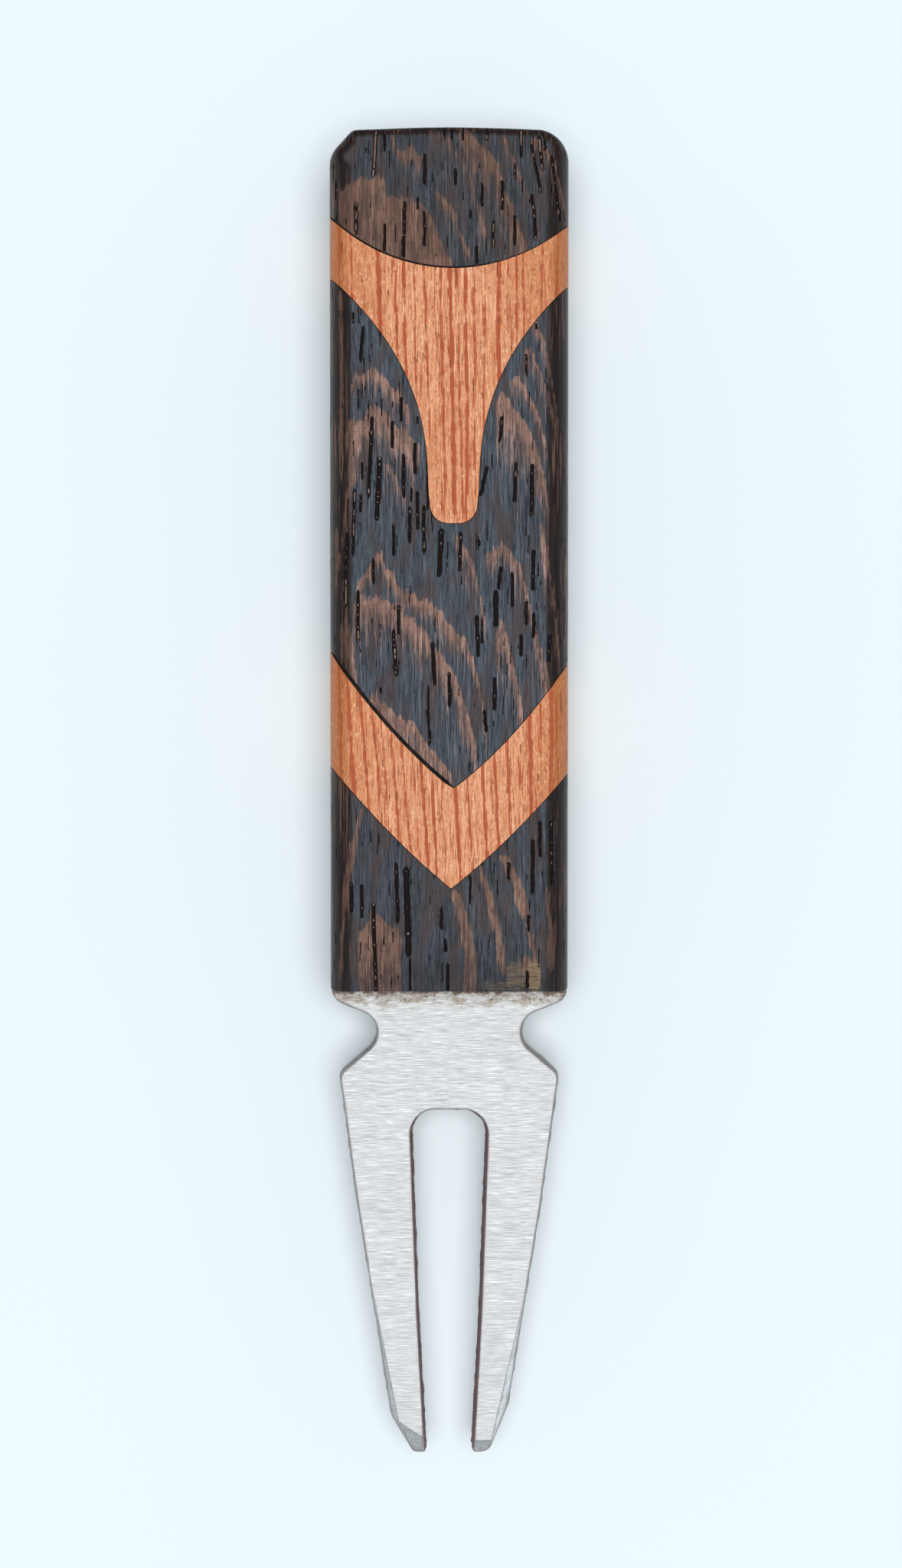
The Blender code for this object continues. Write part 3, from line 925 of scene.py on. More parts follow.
def add_fork_plate(looks):
    """The fork with its tang: its face, then rings of points down its walls to its back."""
    outline = resampled(plate_outline(), OUTLINE_STEP, closed=True)
    count = len(outline)
    in_slot = (np.abs(outline[:, 0]) < SLOT_REACH) & (outline[:, 1] < BASE_Y - SLOT_BELOW)
    rings, walls = plate_rings(outline, in_slot)
    points, faces = plate_face(rings[0][:, :2], left_normals(outline, closed=True))
    face_z = PLATE_HIGH_Z - facet_drop(points)

    places = [np.c_[points, face_z]]
    wall = [np.zeros(len(points))]
    edge = [np.clip(1 - (nearest_gap(points, outline) - ARRIS) / 0.3, 0, 1)]
    facet = [smooth_step((PLATE_HIGH_Z - face_z) / 0.04)]
    slot = [np.zeros(len(points))]
    # How bright each facet is painted, standing in for the light that it catches
    painted_facet_light = [facet_painted_light(points)]
    ring_facet = smooth_step(facet_drop(outline) / 0.04)
    previous = 0
    current = len(points)
    for ring, is_wall in zip(rings[1:], walls[1:]):
        faces += band(previous, current, count)
        previous = current
        current += count
        places.append(ring)
        wall.append(np.full(count, is_wall))
        edge.append(np.ones(count))
        facet.append(ring_facet * (1 - is_wall))
        slot.append(in_slot.astype(float))
        painted_facet_light.append(facet_painted_light(outline))
    faces.append(list(range(previous, current)))
    attributes = {"wall": wall, "edge": edge, "facet": facet, "slot": slot, "painted_facet_light": painted_facet_light}
    attributes = {key: np.concatenate(values) for key, values in attributes.items()}
    made = mesh_object("fork_plate_steel", np.vstack(places), faces, attributes, looks, smooth_angle=35)
    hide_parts("fork_plate")
    return made


def add_bond_film(side, low, high, looks):
    """The glue film between the tang and a scale, its edge slightly hollow and uneven."""
    chance = np.random.default_rng(int(low * 10))
    base = [(BASE_HALF, BASE_Y), (-BASE_HALF, BASE_Y)]
    path = resampled(np.vstack([OUTLINE[OUTLINE[:, 1] > BASE_Y], base]), 0.3, closed=True)
    out = left_normals(path, closed=True)
    count = len(path)
    uneven = 0.02 * chance.uniform(0, 1, count)
    rings = []
    for part, inset in ((0, 0.14), (0.15, 0.06), (0.5, 0.08), (0.85, 0.06), (1, 0.14)):
        ring = path - out * (inset + uneven)[:, None]
        rings.append(np.c_[ring, np.full(count, low + (high - low) * part)])
    last = len(rings) - 1
    faces = [list(range(count))[::-1], [last * count + i for i in range(count)]]
    for ring in range(last):
        faces += band(ring * count, (ring + 1) * count, count)
    node = f"{side}_bond_film"
    made = mesh_object(node + "_glue", np.vstack(rings), faces, {}, looks)
    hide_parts(node)
    return made


# Materials


# The colour sockets of a Mix node, by number, because they share their names with its other sockets
MIX_FACTOR, MIX_A, MIX_B, MIX_RESULT = 0, 6, 7, 2


class Looks:
    """A node material built up from a few short calls. Texture scales are in features per millimetre."""

    def __init__(self, name, **settings):
        self.material = bpy.data.materials.new(name)
        self.material.use_nodes = True
        self.tree = self.material.node_tree
        self.shader = self.tree.nodes["Principled BSDF"]
        for key, value in settings.items():
            self.shader.inputs[key.replace("_", " ")].default_value = value
        self.coordinates = self.tree.nodes.new("ShaderNodeTexCoord").outputs["Object"]

    def node(self, kind, inputs, **settings):
        """A new node with its inputs fed from other nodes' outputs, or set where they are plain values."""
        made = self.tree.nodes.new("ShaderNode" + kind)
        for key, value in settings.items():
            setattr(made, key, value)
        for key, value in inputs.items():
            if isinstance(value, bpy.types.NodeSocket):
                self.tree.links.new(value, made.inputs[key])
            else:
                made.inputs[key].default_value = value
        return made

    def place(self, scale):
        """The place on the object, scaled for a texture."""
        scale = [value / MM for value in scale]
        return self.node("Mapping", {"Vector": self.coordinates, "Scale": scale}).outputs["Vector"]

    def axis(self, name):
        """The place along X, Y or Z, in metres."""
        return self.node("SeparateXYZ", {"Vector": self.coordinates}).outputs[name]

    def attribute(self, name):
        return self.node("Attribute", {}, attribute_name=name).outputs["Fac"]

    def noise(self, scale, detail=3.0, roughness=0.55):
        inputs = {"Vector": self.place(scale), "Scale": 1.0, "Detail": detail, "Roughness": roughness}
        return self.node("TexNoise", inputs).outputs["Fac"]

    def weave(self, scale):
        """Fine bands along and across the grain, crossing like a weave, wavering a little."""
        inputs = {"Scale": 1.0, "Distortion": 3.0, "Detail": 2.0, "Detail Scale": 0.6}
        bands = []
        for direction in ("X", "Y"):
            inputs["Vector"] = self.place(scale)
            bands.append(self.node("TexWave", inputs, bands_direction=direction).outputs["Fac"])
        return self.math("MULTIPLY", *bands)

    def math(self, operation, a, b=0.0):
        return self.node("Math", {0: a, 1: b}, operation=operation).outputs[0]

    def between(self, value, low, high, to_low=0.0, to_high=1.0):
        """Smoothly maps a value from the range low to high onto to_low to to_high."""
        inputs = {"Value": value, "From Min": low, "From Max": high, "To Min": to_low, "To Max": to_high}
        return self.node("MapRange", inputs, interpolation_type="SMOOTHSTEP").outputs["Result"]

    def ramp(self, value, stops):
        """A colour for each value, from stops given as (position, colour)."""
        node = self.node("ValToRGB", {"Fac": value})
        elements = node.color_ramp.elements
        while len(elements) < len(stops):
            elements.new(0.5)
        for element, (position, colour) in zip(elements, stops):
            element.position = position
            element.color = (*colour, 1)
        return node.outputs["Color"]

    def mix(self, factor, a, b):
        a, b = ((*colour, 1) if isinstance(colour, tuple) else colour for colour in (a, b))
        node = self.node("Mix", {MIX_FACTOR: factor, MIX_A: a, MIX_B: b}, data_type="RGBA")
        return node.outputs[MIX_RESULT]

    def tint(self, colour, value, low, high, most, tint):
        """The colour with a tint over it, from none of it where the value is low to the most where high."""
        return self.mix(self.between(value, low, high, 0, most), colour, tint)

    def bump(self, value, distance, normal=None):
        """A normal for the relief that a value gives, this many millimetres high, over another normal."""
        inputs = {"Height": value, "Distance": distance * MM, "Strength": 1.0}
        if normal:
            inputs["Normal"] = normal
        return self.node("Bump", inputs).outputs["Normal"]

    def finish(self, **sockets):
        for key, value in sockets.items():
            self.tree.links.new(value, self.shader.inputs[key.replace("_", " ")])
        return self.material


def dark_grey(looks, fibre, thread, light):
    """The grey of the open fibre, its blue cast partly a painted sheen of the overhead light, with dark
    threads, painted bright glints and purple-brown clouds.
    """
    glint = looks.noise((13, 2.2, 13), detail=1, roughness=0.5)
    cloud = looks.noise((0.8, 0.2, 0.8), detail=4, roughness=0.6)
    dark_stops = [(0.32, (0.014, 0.016, 0.020)), (0.5, (0.040, 0.045, 0.055)), (0.68, (0.080, 0.089, 0.107))]
    light_stops = [(0.32, (0.023, 0.028, 0.036)), (0.5, (0.056, 0.069, 0.088)), (0.68, (0.106, 0.126, 0.156))]
    grey = looks.mix(light, looks.ramp(fibre, dark_stops), looks.ramp(fibre, light_stops))
    grey = looks.tint(grey, thread, 0.48, 0.66, 0.8, (0.006, 0.005, 0.006))
    # Bright glints painted into the colour
    grey = looks.tint(grey, glint, 0.6, 0.74, 0.38, (0.125, 0.130, 0.145))
    return looks.tint(grey, cloud, 0.46, 0.62, 0.65, (0.064, 0.037, 0.033))


def figure_brown(looks, fibre, thread, light):
    """The brown of the figure, finely checked along and across the grain."""
    blotch = looks.noise((2.4, 0.9, 2.4), detail=3, roughness=0.6)
    weave = looks.weave((2.6, 2.2, 2.6))
    dark_stops = [(0.3, (0.078, 0.036, 0.025)), (0.5, (0.195, 0.098, 0.066)), (0.7, (0.375, 0.214, 0.156))]
    light_stops = [(0.3, (0.150, 0.076, 0.058)), (0.5, (0.350, 0.188, 0.142)), (0.7, (0.560, 0.350, 0.275))]
    brown = looks.mix(light, looks.ramp(fibre, dark_stops), looks.ramp(fibre, light_stops))
    brown = looks.tint(brown, blotch, 0.42, 0.62, 0.5, (0.062, 0.034, 0.029))
    brown = looks.mix(looks.math("MULTIPLY", weave, 0.75), brown, (0.045, 0.025, 0.020))
    return looks.tint(brown, thread, 0.5, 0.68, 0.6, (0.028, 0.016, 0.014))


def side_grain_and_painted_light(looks, fibre, thread, past, figured, brown):
    """The polished sides: near black with brown lines, the black partly their darker side grain and partly
    painted shade where the rounding turns away from the overhead light, a painted sheen making them paler
    round their outer edge, and paler wood below it.
    """
    grain_and_shade_stops = [(0.42, (0.006, 0.001, 0.001)), (0.55, (0.012, 0.004, 0.003)), (0.66, (0.120, 0.058, 0.038))]
    line_stops = [(0.35, (0.15, 0.074, 0.050)), (0.65, (0.050, 0.025, 0.018))]
    painted_sheen_stops = [(0.40, (0.012, 0.007, 0.007)), (0.54, (0.055, 0.032, 0.032)), (0.68, (0.200, 0.115, 0.095))]
    wall_stops = [(0.36, (0.010, 0.008, 0.008)), (0.52, (0.040, 0.026, 0.022)), (0.68, (0.130, 0.076, 0.056))]
    grain_and_shade = looks.ramp(fibre, grain_and_shade_stops)
    grain_and_shade = looks.mix(looks.math("MULTIPLY", figured, 0.9), grain_and_shade, looks.ramp(thread, line_stops))
    # A painted sheen, standing in for the reflection at the rounding's outer edge
    grain_and_shade = looks.tint(grain_and_shade, past, 1.2, 2.0, 0.6, looks.ramp(fibre, painted_sheen_stops))
    wall = looks.mix(looks.math("MULTIPLY", figured, 0.8), looks.ramp(fibre, wall_stops), brown)
    return looks.tint(grain_and_shade, past, 2.2, 3.2, 1.0, wall)


def dark_wood():
    looks = Looks("dark_wood_looks", Specular_IOR_Level=0.2, Coat_Roughness=0.16)
    fibre = looks.noise((5.5, 0.2, 5.5), detail=4, roughness=0.7)
    thread = looks.noise((15, 0.7, 15), detail=2, roughness=0.6)
    hatch = looks.noise((0.9, 9, 0.9), detail=2, roughness=0.6)
    past = looks.attribute("past")
    pore = looks.attribute("pore")
    light = looks.attribute("light")

    # The figure's border frays along the grain
    fray = looks.between(fibre, 0.32, 0.68, -0.24, 0.24)
    fray = looks.math("ADD", fray, looks.between(thread, 0.35, 0.65, 0.1, -0.1))
    figured = looks.between(looks.math("ADD", looks.attribute("figure"), fray), 0.24, 0.78)
    brown = figure_brown(looks, fibre, thread, light)
    face = looks.mix(figured, dark_grey(looks, fibre, thread, light), brown)
    side = side_grain_and_painted_light(looks, fibre, thread, past, figured, brown)
    # Past the flat the side's colour takes over: near black with painted shade on the rounding and a painted
    # sheen at its outer edge
    colour = looks.tint(face, past, -0.3, 0.05, 1.0, side)

    # Darker near the fork, with tan scuffs there
    near_fork = looks.between(looks.axis("Y"), (BASE_Y + 4.5) * MM, (BASE_Y + 0.5) * MM, 0, 0.4)
    colour = looks.mix(near_fork, colour, (0.012, 0.012, 0.014))
    worn = looks.math("MULTIPLY", looks.attribute("worn"), looks.between(hatch, 0.42, 0.56, 0.15, 1.0))
    colour = looks.mix(looks.math("MULTIPLY", worn, 0.8), colour, (0.30, 0.205, 0.105))

    # Black pores, some with pale beads of filler
    hole = looks.between(pore, 0.10, 0.45)
    colour = looks.mix(hole, colour, (0.003, 0.0025, 0.003))
    colour = looks.tint(colour, pore, 0.8, 1.0, 0.35, (0.030, 0.012, 0.010))
    bead_colour = looks.ramp(fibre, [(0.4, (0.09, 0.052, 0.038)), (0.6, (0.34, 0.235, 0.17))])
    colour = looks.tint(colour, looks.attribute("bead"), 0.25, 0.8, 0.85, bead_colour)

    rough = looks.math("ADD", looks.between(thread, 0.3, 0.7, 0.52, 0.66), looks.math("MULTIPLY", hole, 0.35))
    coat = looks.math("MULTIPLY", looks.between(past, 0.3, 0.8), looks.between(pore, 0.01, 0.1, 0.45, 0.0))
    normal = looks.bump(thread, 0.010)
    normal = looks.bump(fibre, 0.016, normal=normal)
    return looks.finish(Base_Color=colour, Roughness=rough, Coat_Weight=coat, Normal=normal)


def orange_wood():
    looks = Looks("orange_wood_looks", Specular_IOR_Level=0.28, Coat_Roughness=0.2)
    fibre = looks.noise((6, 0.3, 6), detail=3, roughness=0.6)
    hair = looks.noise((16, 0.35, 16), detail=2, roughness=0.6)
    dash = looks.noise((11, 1.6, 11), detail=2, roughness=0.6)
    cloud = looks.noise((0.35, 0.06, 0.35), detail=2)
    fleck = looks.noise((9, 2.6, 9), detail=1)
    grit = looks.noise((9, 6, 9), detail=2, roughness=0.7)
    past = looks.attribute("past")
    aside = looks.math("ABSOLUTE", looks.axis("X"))

    # The pale wood between the growth lines, deeper towards the handle's sides
    pale_stops = [(0.3, (0.66, 0.250, 0.098)), (0.5, (0.88, 0.392, 0.188)), (0.7, (1.0, 0.575, 0.36))]
    pale = looks.ramp(fibre, pale_stops)
    pale = looks.tint(pale, cloud, 0.42, 0.66, 0.4, (0.62, 0.22, 0.075))
    pale = looks.tint(pale, aside, 3.5 * MM, 8.5 * MM, 0.55, (0.56, 0.170, 0.028))
    pale = looks.tint(pale, hair, 0.46, 0.62, 0.76, (0.54, 0.130, 0.030))
    pale = looks.tint(pale, fleck, 0.56, 0.68, 0.5, (1.0, 0.66, 0.42))
    pale = looks.tint(pale, grit, 0.50, 0.64, 0.5, (0.60, 0.185, 0.060))

    # Red-brown growth lines with frayed borders, then the sides, dark dashes and pores
    fray = looks.between(fibre, 0.3, 0.7, 0.18, -0.22)
    fray = looks.math("ADD", fray, looks.between(hair, 0.35, 0.65, -0.15, 0.15))
    stripe = looks.math("ADD", looks.attribute("figure"), fray)
    colour = looks.tint(pale, stripe, 0.20, 0.66, 0.95, (0.42, 0.057, 0.006))
    colour = looks.tint(colour, past, -0.3, 0.8, 0.6, (0.34, 0.100, 0.020))
    colour = looks.tint(colour, dash, 0.55, 0.62, 0.62, (0.36, 0.085, 0.020))
    colour = looks.tint(colour, looks.attribute("pore"), 0.15, 0.7, 0.85, (0.13, 0.036, 0.014))

    rough = looks.between(fibre, 0.3, 0.7, 0.5, 0.62)
    coat = looks.between(past, 0.3, 0.8, 0, 0.35)
    normal = looks.bump(dash, 0.008)
    normal = looks.bump(fibre, 0.010, normal=normal)
    return looks.finish(Base_Color=colour, Roughness=rough, Coat_Weight=coat, Normal=normal)


def brushed_face(looks, line, dash):
    """Pale steel, brushed across its width, with darker and brighter strokes."""
    sweep = looks.noise((0.10, 1.4, 1.4), detail=3, roughness=0.6)
    dash_stops = [(0.34, (0.375, 0.370, 0.370)), (0.5, (0.435, 0.431, 0.433)), (0.66, (0.525, 0.521, 0.524))]
    colour = looks.ramp(dash, dash_stops)
    colour = looks.tint(colour, line, 0.5, 0.66, 0.5, (0.31, 0.305, 0.305))
    colour = looks.tint(colour, sweep, 0.45, 0.7, 0.25, (0.32, 0.32, 0.32))
    return looks.tint(colour, line, 0.42, 0.34, 0.5, (0.68, 0.68, 0.685))


def stained_by_wood(looks, colour):
    """Stain and rust spots on the collar, up to the dark joint with the wood."""
    speck = looks.noise((5.5, 5.5, 5.5), detail=2)
    ragged = looks.noise((1.1, 2.0, 1.1), detail=3)
    along = looks.math("ADD", looks.axis("Y"), looks.between(ragged, 0.3, 0.7, -0.5 * MM, 0.5 * MM))
    near_wood = looks.between(along, (BASE_Y - 1.6) * MM, (BASE_Y - 0.6) * MM)
    stain = looks.math("MULTIPLY", near_wood, looks.between(ragged, 0.36, 0.6, 0.35, 1.0))
    colour = looks.mix(looks.math("MULTIPLY", stain, 0.85), colour, (0.265, 0.230, 0.185))
    spots = looks.math("MULTIPLY", looks.between(speck, 0.57, 0.64), near_wood)
    colour = looks.mix(looks.math("MULTIPLY", spots, 0.8), colour, (0.13, 0.075, 0.055))
    return looks.tint(colour, along, (BASE_Y - 0.55) * MM, (BASE_Y + 0.1) * MM, 0.8, (0.085, 0.050, 0.038))


def cut_walls(looks, scorch, tang):
    """Scorched dark red-brown in the slot, greyer round the outside, sanded bright on the tang."""
    sanded = looks.noise((9, 0.12, 9), detail=3, roughness=0.6)
    slot_stops = [(0.35, (0.085, 0.020, 0.024)), (0.55, (0.15, 0.040, 0.046)), (0.7, (0.24, 0.090, 0.096))]
    outer_stops = [(0.35, (0.225, 0.195, 0.19)), (0.5, (0.275, 0.25, 0.245)), (0.65, (0.34, 0.32, 0.315))]
    tang_stops = [(0.35, (0.40, 0.395, 0.39)), (0.65, (0.56, 0.56, 0.565))]
    slot = looks.attribute("slot")
    cut = looks.mix(slot, looks.ramp(scorch, outer_stops), looks.ramp(scorch, slot_stops))
    return looks.mix(tang, cut, looks.ramp(sanded, tang_stops))


def brushed_steel():
    looks = Looks("brushed_steel_looks")
    line = looks.noise((0.7, 20, 20), detail=3, roughness=0.7)
    dash = looks.noise((0.3, 12, 12), detail=3, roughness=0.7)
    cloud = looks.noise((0.25, 0.4, 0.3), detail=3)
    ground = looks.noise((9, 0.5, 9), detail=3, roughness=0.65)
    scorch = looks.noise((3.2, 3.2, 0.5), detail=4, roughness=0.6)
    wall = looks.attribute("wall")
    facet = looks.attribute("facet")
    tang = looks.between(looks.axis("Y"), BASE_Y * MM, (BASE_Y + 0.3) * MM)

    # The ground facets get a painted shade or a painted highlight each, for the light they catch, and the
    # face is browner near its edges
    shaded_facet = looks.ramp(ground, [(0.35, (0.38, 0.385, 0.375)), (0.65, (0.66, 0.67, 0.655))])
    bright = looks.ramp(ground, [(0.35, (0.80, 0.80, 0.80)), (0.65, (1.0, 1.0, 1.0))])
    colour = stained_by_wood(looks, brushed_face(looks, line, dash))
    colour = looks.mix(facet, colour, looks.mix(looks.attribute("painted_facet_light"), shaded_facet, bright))
    edge = looks.math("ADD", looks.attribute("edge"), looks.between(cloud, 0.3, 0.7, -0.5, 0.1))
    colour = looks.tint(colour, edge, 0.3, 1.0, 0.45, (0.34, 0.28, 0.265))
    colour = looks.mix(wall, colour, cut_walls(looks, scorch, tang))

    # The scorched walls are duller and rougher than bare metal
    raw = looks.math("MULTIPLY", wall, looks.math("SUBTRACT", 1.0, tang))
    metal = looks.math("SUBTRACT", 1.0, looks.math("MULTIPLY", raw, 0.8))
    rough = looks.math("ADD", looks.between(line, 0.3, 0.7, 0.52, 0.62), looks.math("MULTIPLY", raw, 0.15))
    brushed = looks.math("MULTIPLY", dash, looks.math("SUBTRACT", 1.0, looks.math("MAXIMUM", wall, facet)))
    normal = looks.bump(brushed, 0.010)
    normal = looks.bump(looks.math("MULTIPLY", ground, facet), 0.012, normal=normal)
    normal = looks.bump(looks.math("MULTIPLY", scorch, raw), 0.012, normal=normal)
    return looks.finish(Base_Color=colour, Metallic=metal, Roughness=rough, Normal=normal)


def black_epoxy():
    looks = Looks("black_epoxy_looks", Specular_IOR_Level=0.08)
    grain = looks.noise((7, 7, 7), detail=3)
    smear = looks.noise((1.2, 1.2, 1.2), detail=2)
    middle = looks.math("MULTIPLY", looks.attribute("middle"), looks.between(smear, 0.42, 0.6))
    colour = looks.ramp(grain, [(0.3, (0.002, 0.002, 0.002)), (0.7, (0.008, 0.006, 0.006))])
    colour = looks.mix(looks.math("MULTIPLY", middle, 0.6), colour, (0.035, 0.018, 0.012))
    normal = looks.bump(grain, 0.02)
    return looks.finish(Base_Color=colour, Roughness=looks.between(grain, 0.3, 0.7, 0.5, 0.7), Normal=normal)


def bond_epoxy():
    looks = Looks("bond_epoxy_looks")
    grain = looks.noise((3, 3, 6), detail=3)
    colour = looks.ramp(grain, [(0.3, (0.03, 0.02, 0.012)), (0.7, (0.12, 0.075, 0.04))])
    normal = looks.bump(grain, 0.02)
    return looks.finish(Base_Color=colour, Roughness=looks.between(grain, 0.3, 0.7, 0.2, 0.4), Normal=normal)


def floor_looks():
    looks = Looks("floor_looks", Specular_IOR_Level=0.1)
    mottle = looks.noise((0.02, 0.02, 0.02), detail=2)
    colour = looks.ramp(mottle, [(0.3, (0.870, 0.930, 0.942)), (0.7, (0.880, 0.940, 0.952))])
    return looks.finish(Base_Color=colour, Roughness=looks.between(mottle, 0.3, 0.7, 0.7, 0.8))


# What the photograph shows on the front: pores as (x, station, x, station, width, share of beads)

CROWN_PORES = [
    (-5.8, 0.4, -6.0, 4.0, 0.24, 0.8),
    (-5.1, 0.4, -5.1, 1.9, 0.16, 0.4),
    (-0.4, 0.2, -0.4, 0.8, 0.12, 0.2),
    (0.2, 0.3, 0.2, 1.1, 0.12, 0.2),
    (1.1, 0.1, 1.1, 1.15, 0.14, 0.3),
    (3.0, 0.1, 3.0, 1.15, 0.14, 0.3),
    (5.7, 0.4, 5.7, 2.5, 0.2, 0.5),
    (6.5, 1.5, 7.25, 5.2, 0.2, 0.4),
    (7.1, 0.8, 7.4, 3.5, 0.22, 0.5),
    (7.6, 0.9, 7.6, 1.9, 0.14, 0.2),
    (8.1, 2.4, 8.8, 7.5, 0.22, 0.5),
    (-1.9, 2.2, -1.95, 4.6, 0.2, 0.3),
    (0.5, 3.4, 0.5, 4.7, 0.16, 0.2),
    (5.2, 2.9, 5.2, 4.2, 0.16, 0.6),
    (4.2, 4.3, 4.2, 6.7, 0.2, 0.3),
    (2.6, 4.6, 2.6, 6.3, 0.18, 0.2),
    (1.7, 6.7, 1.7, 7.3, 0.14, 0.1),
    (-7.35, 6.1, -7.35, 8.5, 0.24, 0.7),
    (-5.1, 7.7, -5.1, 9.9, 0.18, 0.2),
    (-3.5, 6.0, -3.55, 8.6, 0.2, 0.3),
    (-3.6, 8.7, -3.6, 10.4, 0.24, 0.1),
    (-1.95, 6.8, -1.95, 9.5, 0.2, 0.3),
    (-2.5, 5.7, -2.5, 6.6, 0.14, 0.1),
    (5.2, 7.1, 5.2, 9.4, 0.18, 0.3),
    (6.55, 5.4, 6.9, 9.0, 0.22, 0.4),
    (2.2, 9.5, 2.2, 10.9, 0.18, 0.2),
    (3.5, 7.5, 3.5, 9.7, 0.2, 0.7),
    (-9.0, 4.4, -9.0, 5.7, 0.16, 0.3),
]

MIDDLE_PORES = [
    (-6.85, 15.9, -7.0, 18.6, 0.22, 0.3),
    (-3.8, 21.5, -3.8, 23.4, 0.18, 0.2),
    (-2.5, 23.0, -2.5, 23.6, 0.12, 0.1),
    (-6.1, 23.0, -6.4, 29.4, 0.24, 0.4),
    (-6.9, 26.7, -6.9, 28.0, 0.16, 0.2),
    (-5.5, 26.2, -5.7, 31.2, 0.34, 0.4),
    (-4.5, 23.4, -4.5, 25.5, 0.22, 0.1),
    (-3.6, 26.0, -3.6, 29.4, 0.22, 0.3),
    (-2.7, 25.1, -2.7, 27.6, 0.2, 0.2),
    (-2.5, 29.0, -2.5, 32.0, 0.22, 0.3),
    (-3.1, 30.2, -3.1, 33.0, 0.22, 0.3),
    (-2.0, 30.1, -2.0, 33.8, 0.22, 0.3),
    (-3.0, 28.7, -3.0, 29.8, 0.14, 0.1),
    (-7.5, 28.8, -7.55, 32.5, 0.2, 0.7),
    (-7.0, 29.2, -7.0, 30.5, 0.16, 0.3),
    (4.2, 23.0, 4.0, 25.0, 0.2, 0.2),
    (3.0, 27.0, 2.5, 29.3, 0.24, 0.1),
    (5.3, 26.7, 5.15, 29.8, 0.24, 0.3),
    (6.6, 26.8, 6.5, 30.9, 0.26, 0.4),
    (6.1, 18.1, 6.1, 19.7, 0.16, 0.5),
    (6.9, 15.7, 6.9, 16.1, 0.14, 0.3),
    (-7.6, 14.8, -7.6, 15.6, 0.14, 0.4),
    (-4.4, 31.5, -4.4, 34.0, 0.2, 0.3),
    (-0.6, 31.9, -0.8, 35.7, 0.34, 0.3),
    (0.94, 32.2, 0.8, 35.3, 0.24, 0.3),
    (2.4, 32.8, 2.4, 33.3, 0.14, 0.1),
    (-6.0, 34.3, -6.0, 36.2, 0.2, 0.3),
    (-7.2, 36.8, -7.2, 40.9, 0.24, 0.4),
    (-4.0, 38.0, -4.0, 40.2, 0.22, 0.3),
    (-4.4, 39.9, -4.2, 43.5, 0.24, 0.4),
    (-1.3, 40.9, -1.1, 44.3, 0.26, 0.3),
    (0.0, 43.3, 0.0, 46.0, 0.24, 0.3),
    (-1.6, 44.4, -1.6, 49.0, 0.14, 0.3),
    (2.2, 38.8, 2.3, 42.0, 0.26, 0.3),
    (2.6, 39.0, 2.6, 41.0, 0.14, 0.5),
    (4.1, 34.9, 3.9, 36.7, 0.22, 0.2),
    (3.7, 36.8, 3.7, 39.6, 0.34, 0.3),
    (5.0, 35.4, 5.0, 38.0, 0.24, 0.2),
    (6.7, 33.6, 6.6, 36.8, 0.28, 0.5),
    (6.1, 37.7, 6.1, 39.5, 0.22, 0.2),
    (6.7, 38.6, 6.7, 40.5, 0.22, 0.2),
    (5.7, 40.3, 5.7, 42.0, 0.22, 0.2),
    (8.0, 40.3, 7.85, 42.4, 0.22, 0.3),
    (3.6, 43.7, 3.6, 46.3, 0.24, 0.2),
    (2.8, 46.3, 2.9, 47.9, 0.22, 0.2),
    (-5.4, 44.5, -5.4, 44.9, 0.14, 0.1),
    (-8.1, 31.7, -8.2, 38.0, 0.2, 0.6),
    (-7.6, 31.0, -7.6, 34.0, 0.2, 0.3),
    (-1.75, 25.9, -1.7, 30.4, 0.12, 0.0),
]

BASE_PORES = [
    (-4.2, 58.4, -4.05, 63.1, 0.24, 0.3),
    (-3.4, 58.7, -3.2, 65.8, 0.42, 0.3),
    (-3.1, 65.9, -3.1, 68.4, 0.14, 0.2),
    (-6.9, 60.1, -6.9, 62.7, 0.22, 0.3),
    (-7.7, 60.0, -7.7, 62.2, 0.22, 0.4),
    (-6.0, 61.5, -5.8, 68.5, 0.28, 0.6),
    (-0.6, 62.0, -0.6, 63.6, 0.2, 0.2),
    (-0.3, 64.4, -0.3, 65.4, 0.16, 0.1),
    (-0.1, 66.4, -0.1, 68.4, 0.2, 0.2),
    (1.65, 59.4, 1.65, 61.5, 0.14, 0.2),
    (4.7, 58.3, 4.7, 59.7, 0.18, 0.2),
    (6.6, 56.5, 6.6, 60.8, 0.26, 0.3),
    (6.3, 62.5, 6.3, 63.7, 0.18, 0.2),
    (7.2, 55.1, 7.2, 57.9, 0.22, 0.2),
    (8.1, 55.0, 8.1, 60.0, 0.24, 0.4),
    (6.2, 66.9, 6.2, 68.3, 0.18, 0.2),
]

# Brown figure on the front: edges through (x, station), with the length it fades over and its strength.
# The crown's doesn't carry on into the block below the tee, which was cut from another place.

CROWN_FLAMES_END = 12

